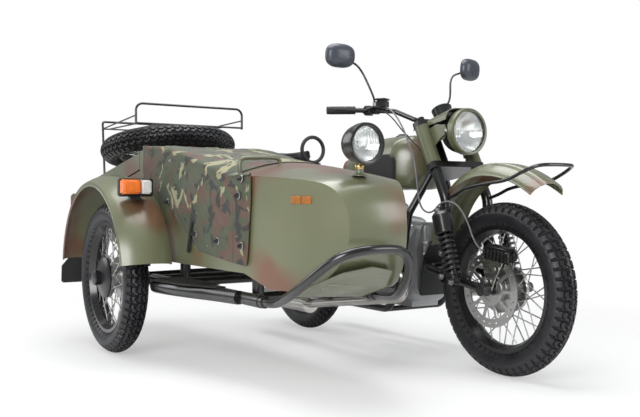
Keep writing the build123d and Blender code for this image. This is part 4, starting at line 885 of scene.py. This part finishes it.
for x, z in ((1.482, 0.484), (1.545, 0.432), (1.500, 0.380)):
    lathe(
        "bracket_bolt", [(0, 0.008), (0.007, 0.008)], (x, -0.103, z), (0, -1, 0), zinc_bolt, "steering",
        steps=6, smooth=False)
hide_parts("front_caliper")
hose_grey = finish("hose_grey", (0.16, 0.16, 0.165), 0.35, scale=1200, relief=0.2)
cable_black = finish("cable_black", (0.012, 0.012, 0.012), 0.35, scale=900, relief=0.05)
hose = ribbon(
    "brake_hose", [(0.945, -0.172, 1.108), (1.000, -0.172, 1.085), (1.085, -0.176, 0.985),
    (1.152, -0.178, 0.860), (1.172, -0.182, 0.740), (1.195, -0.182, 0.660), (1.235, -0.158, 0.640),
    (1.300, -0.160, 0.695), (1.375, -0.150, 0.690), (1.425, -0.135, 0.620), (1.448, -0.125, 0.545),
    (1.480, -0.118, 0.505), (1.492, -0.112, 0.498)], 0.0036, hose_grey, "steering", order=3)
right_cable = ribbon(
    "right_cable", [(0.935, -0.190, 1.092), (0.985, -0.185, 1.075), (1.060, -0.168, 0.990),
    (1.128, -0.130, 0.915), (1.160, -0.100, 0.865), (1.178, -0.080, 0.832)], 0.0028, cable_black,
    "steering", order=3)
left_cable = ribbon(
    "left_cable", [(0.935, 0.190, 1.092), (0.990, 0.185, 1.078), (1.070, 0.165, 1.000),
    (1.130, 0.128, 0.915), (1.162, 0.100, 0.865), (1.180, 0.080, 0.832)], 0.0028, cable_black, "steering",
    order=3)

# Bumper: a glossy black tube bent round the nose, clamped to the sidecar's frame at both ends, with
# a plain olive plate behind it.
bumper = ribbon(
    "bumper_tube", [(1.242, -0.960, 0.330), (1.300, -0.960, 0.330), (1.370, -0.975, 0.334),
    (1.480, -0.990, 0.372), (1.570, -0.985, 0.420), (1.650, -0.965, 0.478), (1.705, -0.925, 0.525),
    (1.732, -0.850, 0.540), (1.728, -0.760, 0.540), (1.718, -0.690, 0.535), (1.706, -0.645, 0.490),
    (1.650, -0.620, 0.420), (1.560, -0.580, 0.362), (1.430, -0.520, 0.336), (1.300, -0.470, 0.330),
    (1.242, -0.470, 0.330)], 0.0165, black_enamel, "chassis", order=4)
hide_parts("nose_bumper")
for y in (-0.960, -0.470):
    lathe(
        "bumper_clamp", [(-0.02, 0.019), (-0.018, 0.022), (0.018, 0.022), (0.02, 0.019)],
        (1.246, y, 0.330), (1, 0, 0), black_enamel, "chassis", steps=32)
panel(
    "nose_plate", [(1.445, -0.955, 0.368), (1.560, -0.938, 0.420), (1.640, -0.880, 0.462),
    (1.668, -0.780, 0.480), (1.650, -0.680, 0.462), (1.560, -0.640, 0.395), (1.430, -0.650, 0.352)],
    0.003, plain_olive, "chassis", bevel=0)

# Grab rail on the cowl: a bent olive rod with both feet on the panel.
rail = ribbon("cowl_rail", [(1.090, y, z) for y, z in (
    (-0.970, 0.790), (-0.975, 0.832), (-0.966, 0.856), (-0.930, 0.860), (-0.860, 0.862), (-0.812, 0.862),
    (-0.798, 0.852), (-0.796, 0.834))], 0.008, plain_olive, "chassis", order=3)
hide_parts("grab_rail")


# Front mudguard: one pressed steel sheet of two radii, with two pairs of raised ribs along its crown
# and a black rod as a hoop over it. Every mudguard has a rolled wire edge.
def edge_bead(name, centre, radius, y, start, end, thick, body):
    """A rolled edge that follows a mudguard round its wheel."""
    steps = max(8, int((end - start) / 4))
    places = []
    for step in range(steps + 1):
        angle = math.radians(start + (end - start) * step / steps)
        places.append((centre[0] + radius * math.cos(angle), y, centre[1] + radius * math.sin(angle)))
    ribbon(name, places, thick, body_paint, body, order=3)


def arched_sheet(name, arcs, material, body):
    """A pressed sheet: each arc holds the places of its outer skin and then those of its inner skin."""
    half = len(arcs[0]) // 2
    ring = 2 * half
    last = (len(arcs) - 1) * ring
    verts = [place for arc in arcs for place in arc[:half] + arc[:half - 1:-1]]
    faces = ring_faces(len(arcs), ring)
    for k in range(half - 1):
        faces.append((k + 1, k, ring - 1 - k, ring - 2 - k))
        faces.append((last + k, last + k + 1, last + ring - 2 - k, last + ring - 1 - k))
    return solid(name, verts, faces, material, body, smooth=True, sharp=50)


# The two arcs are given as the height of the centre and the radius of the crown.
GUARD_X = 1.460
GUARD_FRONT, GUARD_REAR = (0.338, 0.510), (0.494, 0.354)
GUARD_FROM, GUARD_SPAN = 56.5, 121.5
GUARD_HALF, GUARD_DROP = 0.088, 0.0617
GUARD_RIBS = ((0.030, 0.0028), (0.055, 0.0018))
RIB_WIDTH = 0.0035
SHEET_THICK = 0.003
for side in (1, -1):
    edge_bead("front_guard_edge", (GUARD_X, GUARD_FRONT[0]), 0.4585, side * 0.0865, GUARD_FROM, 90, 0.003,
              "steering")
    edge_bead(
        "front_guard_edge", (GUARD_X, GUARD_REAR[0]), 0.3025, side * 0.0865, 90, 178, 0.003, "steering")
    edge_bead("rear_guard_edge", (0, 0.345), 0.334, side * 0.0875, 38, 176, 0.003, "chassis")
    edge_bead("side_guard_edge", (0.150, 0.345), 0.418, -1.140 + side * 0.1095, 11, 172, 0.0035, "chassis")
guard_arcs = []
for step in range(101):
    angle = math.radians(GUARD_FROM + GUARD_SPAN * step / 100)
    lift, reach = GUARD_FRONT if angle < math.pi / 2 else GUARD_REAR
    arc = []
    for skin in (0, SHEET_THICK):
        for k in range(65):
            tilt = math.radians(-80 + 160 * k / 64)
            y = (GUARD_HALF - skin) * math.sin(tilt)
            rib = sum(
                height * math.exp(-((abs(y) - place) / RIB_WIDTH) ** 2) for place, height in GUARD_RIBS)
            radius = reach - (GUARD_DROP * (1 - math.cos(tilt)) + skin - rib)
            arc.append(at(GUARD_X + radius * math.cos(angle), y, lift + radius * math.sin(angle)))
    guard_arcs.append(arc)
guard = arched_sheet("front_guard", guard_arcs, body_paint, "steering")
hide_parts("front_fender")
hoop_half = (
    (1.300, 0.116, 0.709), (1.345, 0.118, 0.722), (1.400, 0.121, 0.748), (1.520, 0.122, 0.764),
    (1.620, 0.120, 0.772), (1.690, 0.116, 0.800), (1.750, 0.100, 0.826), (1.778, 0.062, 0.830))
hoop = ribbon(
    "guard_hoop", [*hoop_half, *((x, -y, z) for x, y, z in reversed(hoop_half))], 0.007, black_enamel,
    "steering", order=3)
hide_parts("fender_hoop")

# Step: a fat black tube runs from the frame's rail out towards the wheel's arm, with a dark ribbed
# plate over it for climbing in.
tread_plate = finish(
    "tread_plate", (0.020, 0.022, 0.018), 0.45, scale=150, relief=0.6, variation=0.3)
ribbon(
    "step_tube", [(0.530, -1.085, 0.332), (0.640, -1.078, 0.332), (0.820, -1.040, 0.332),
    (0.960, -0.995, 0.331), (1.090, -0.975, 0.331)], 0.027, black_enamel, "chassis", order=3)
panel(
    "step_plate", [(x, y, 0.361) for x, y in ((0.520, -1.110), (0.800, -1.075), (0.960, -1.010),
    (0.960, -0.965), (0.520, -0.965))], 0.004, tread_plate, "chassis")
for k in range(14):
    x = 0.545 + 0.028 * k
    ribbon(
        "step_rib", [(x, -0.970, 0.3665), (x, -1.085 + 0.0045 * k, 0.3665)], 0.0022, tread_plate,
        "chassis")

# Petrol tank: a rounded teardrop of pressed steel that narrows to the saddle, with a black cap.
TANK_ROWS, TANK_RING = 41, 64
TANK_FRONT, TANK_LENGTH = 1.047, 0.606
TANK_HALF, TANK_TOP, TANK_FLOOR = 0.152, 0.988, 0.744
verts = []
for step in range(TANK_ROWS):
    t = step / (TANK_ROWS - 1)
    x = TANK_FRONT - TANK_LENGTH * (0.5 - 0.5 * math.cos(math.pi * t))
    half = TANK_HALF * min(1, max(0, (1.052 - x) / 0.105)) ** 0.42
    half *= min(1, 0.42 + 0.58 * smooth_step(0.43, 0.66, x))
    top = TANK_TOP - 0.042 * smooth_step(0.98, TANK_FRONT, x) - 0.090 * (1 - smooth_step(0.40, 0.84, x))
    low = TANK_FLOOR + 0.020 * (1 - smooth_step(0.44, 0.56, x)) + 0.060 * smooth_step(1.0, TANK_FRONT, x)
    if t in (0, 1):
        half, top, low = half * 0.5, top - 0.03, low + 0.03
    for k in range(TANK_RING):
        c, s = math.cos(k / TANK_RING * math.tau), math.sin(k / TANK_RING * math.tau)
        power, tall = (0.72, (top - low) / 2 + 0.02) if s > 0 else (0.5, (top - low) / 2 - 0.02)
        rise = math.copysign(abs(s) ** power, s) * tall
        verts.append(at(x, half * math.copysign(abs(c) ** 0.62, c), (top + low) / 2 - 0.02 + rise))
tank = solid(
    "petrol_tank", verts, ring_faces(TANK_ROWS, TANK_RING) + end_faces(TANK_ROWS, TANK_RING), body_paint,
    "chassis", smooth=True)
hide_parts("fuel_tank")
lathe(
    "tank_cap", [(-0.01, 0.034), (0.006, 0.034), (0.010, 0.031), (0.0105, 0.024), (0.016, 0.022),
    (0.018, 0.018)], (0.845, 0, 0.984), (0, 0, 1), lamp_black, "chassis")

# Head lamp hood: a pressed olive shell from the fork's top clamp to the lamp, with deep ears that
# carry the lamp down to the leg covers.
HOOD_REAR, HOOD_LENGTH = 1.052, 0.204
hood_arcs = []
for step in range(25):
    t = step / 24
    half, low, tall = 0.108 - 0.007 * t, 0.998 + 0.036 * t, 0.030 + 0.022 * t
    if t < 0.12:
        tall *= 0.45 + 0.55 * math.sin(math.pi / 2 * t / 0.12)
    arc = []
    for skin in (0, SHEET_THICK):
        for k in range(33):
            c, s = math.cos(math.pi * k / 32), math.sin(math.pi * k / 32)
            arc.append(at(HOOD_REAR + HOOD_LENGTH * t, (half - skin) * math.copysign(abs(c) ** 0.6, c),
                          low + (tall - skin) * s ** 0.7))
    hood_arcs.append(arc)
arched_sheet("lamp_hood", hood_arcs, plain_olive, "steering")
for side in (1, -1):
    panel("lamp_ear", [(x, side * 0.0995, z) for x, z in (
        (1.112, 0.985), (1.200, 1.018), (1.252, 1.012), (1.262, 0.992), (1.252, 0.972), (1.222, 0.956),
        (1.190, 0.925), (1.176, 0.880), (1.150, 0.880))], 0.003, plain_olive, "steering", bevel=0)
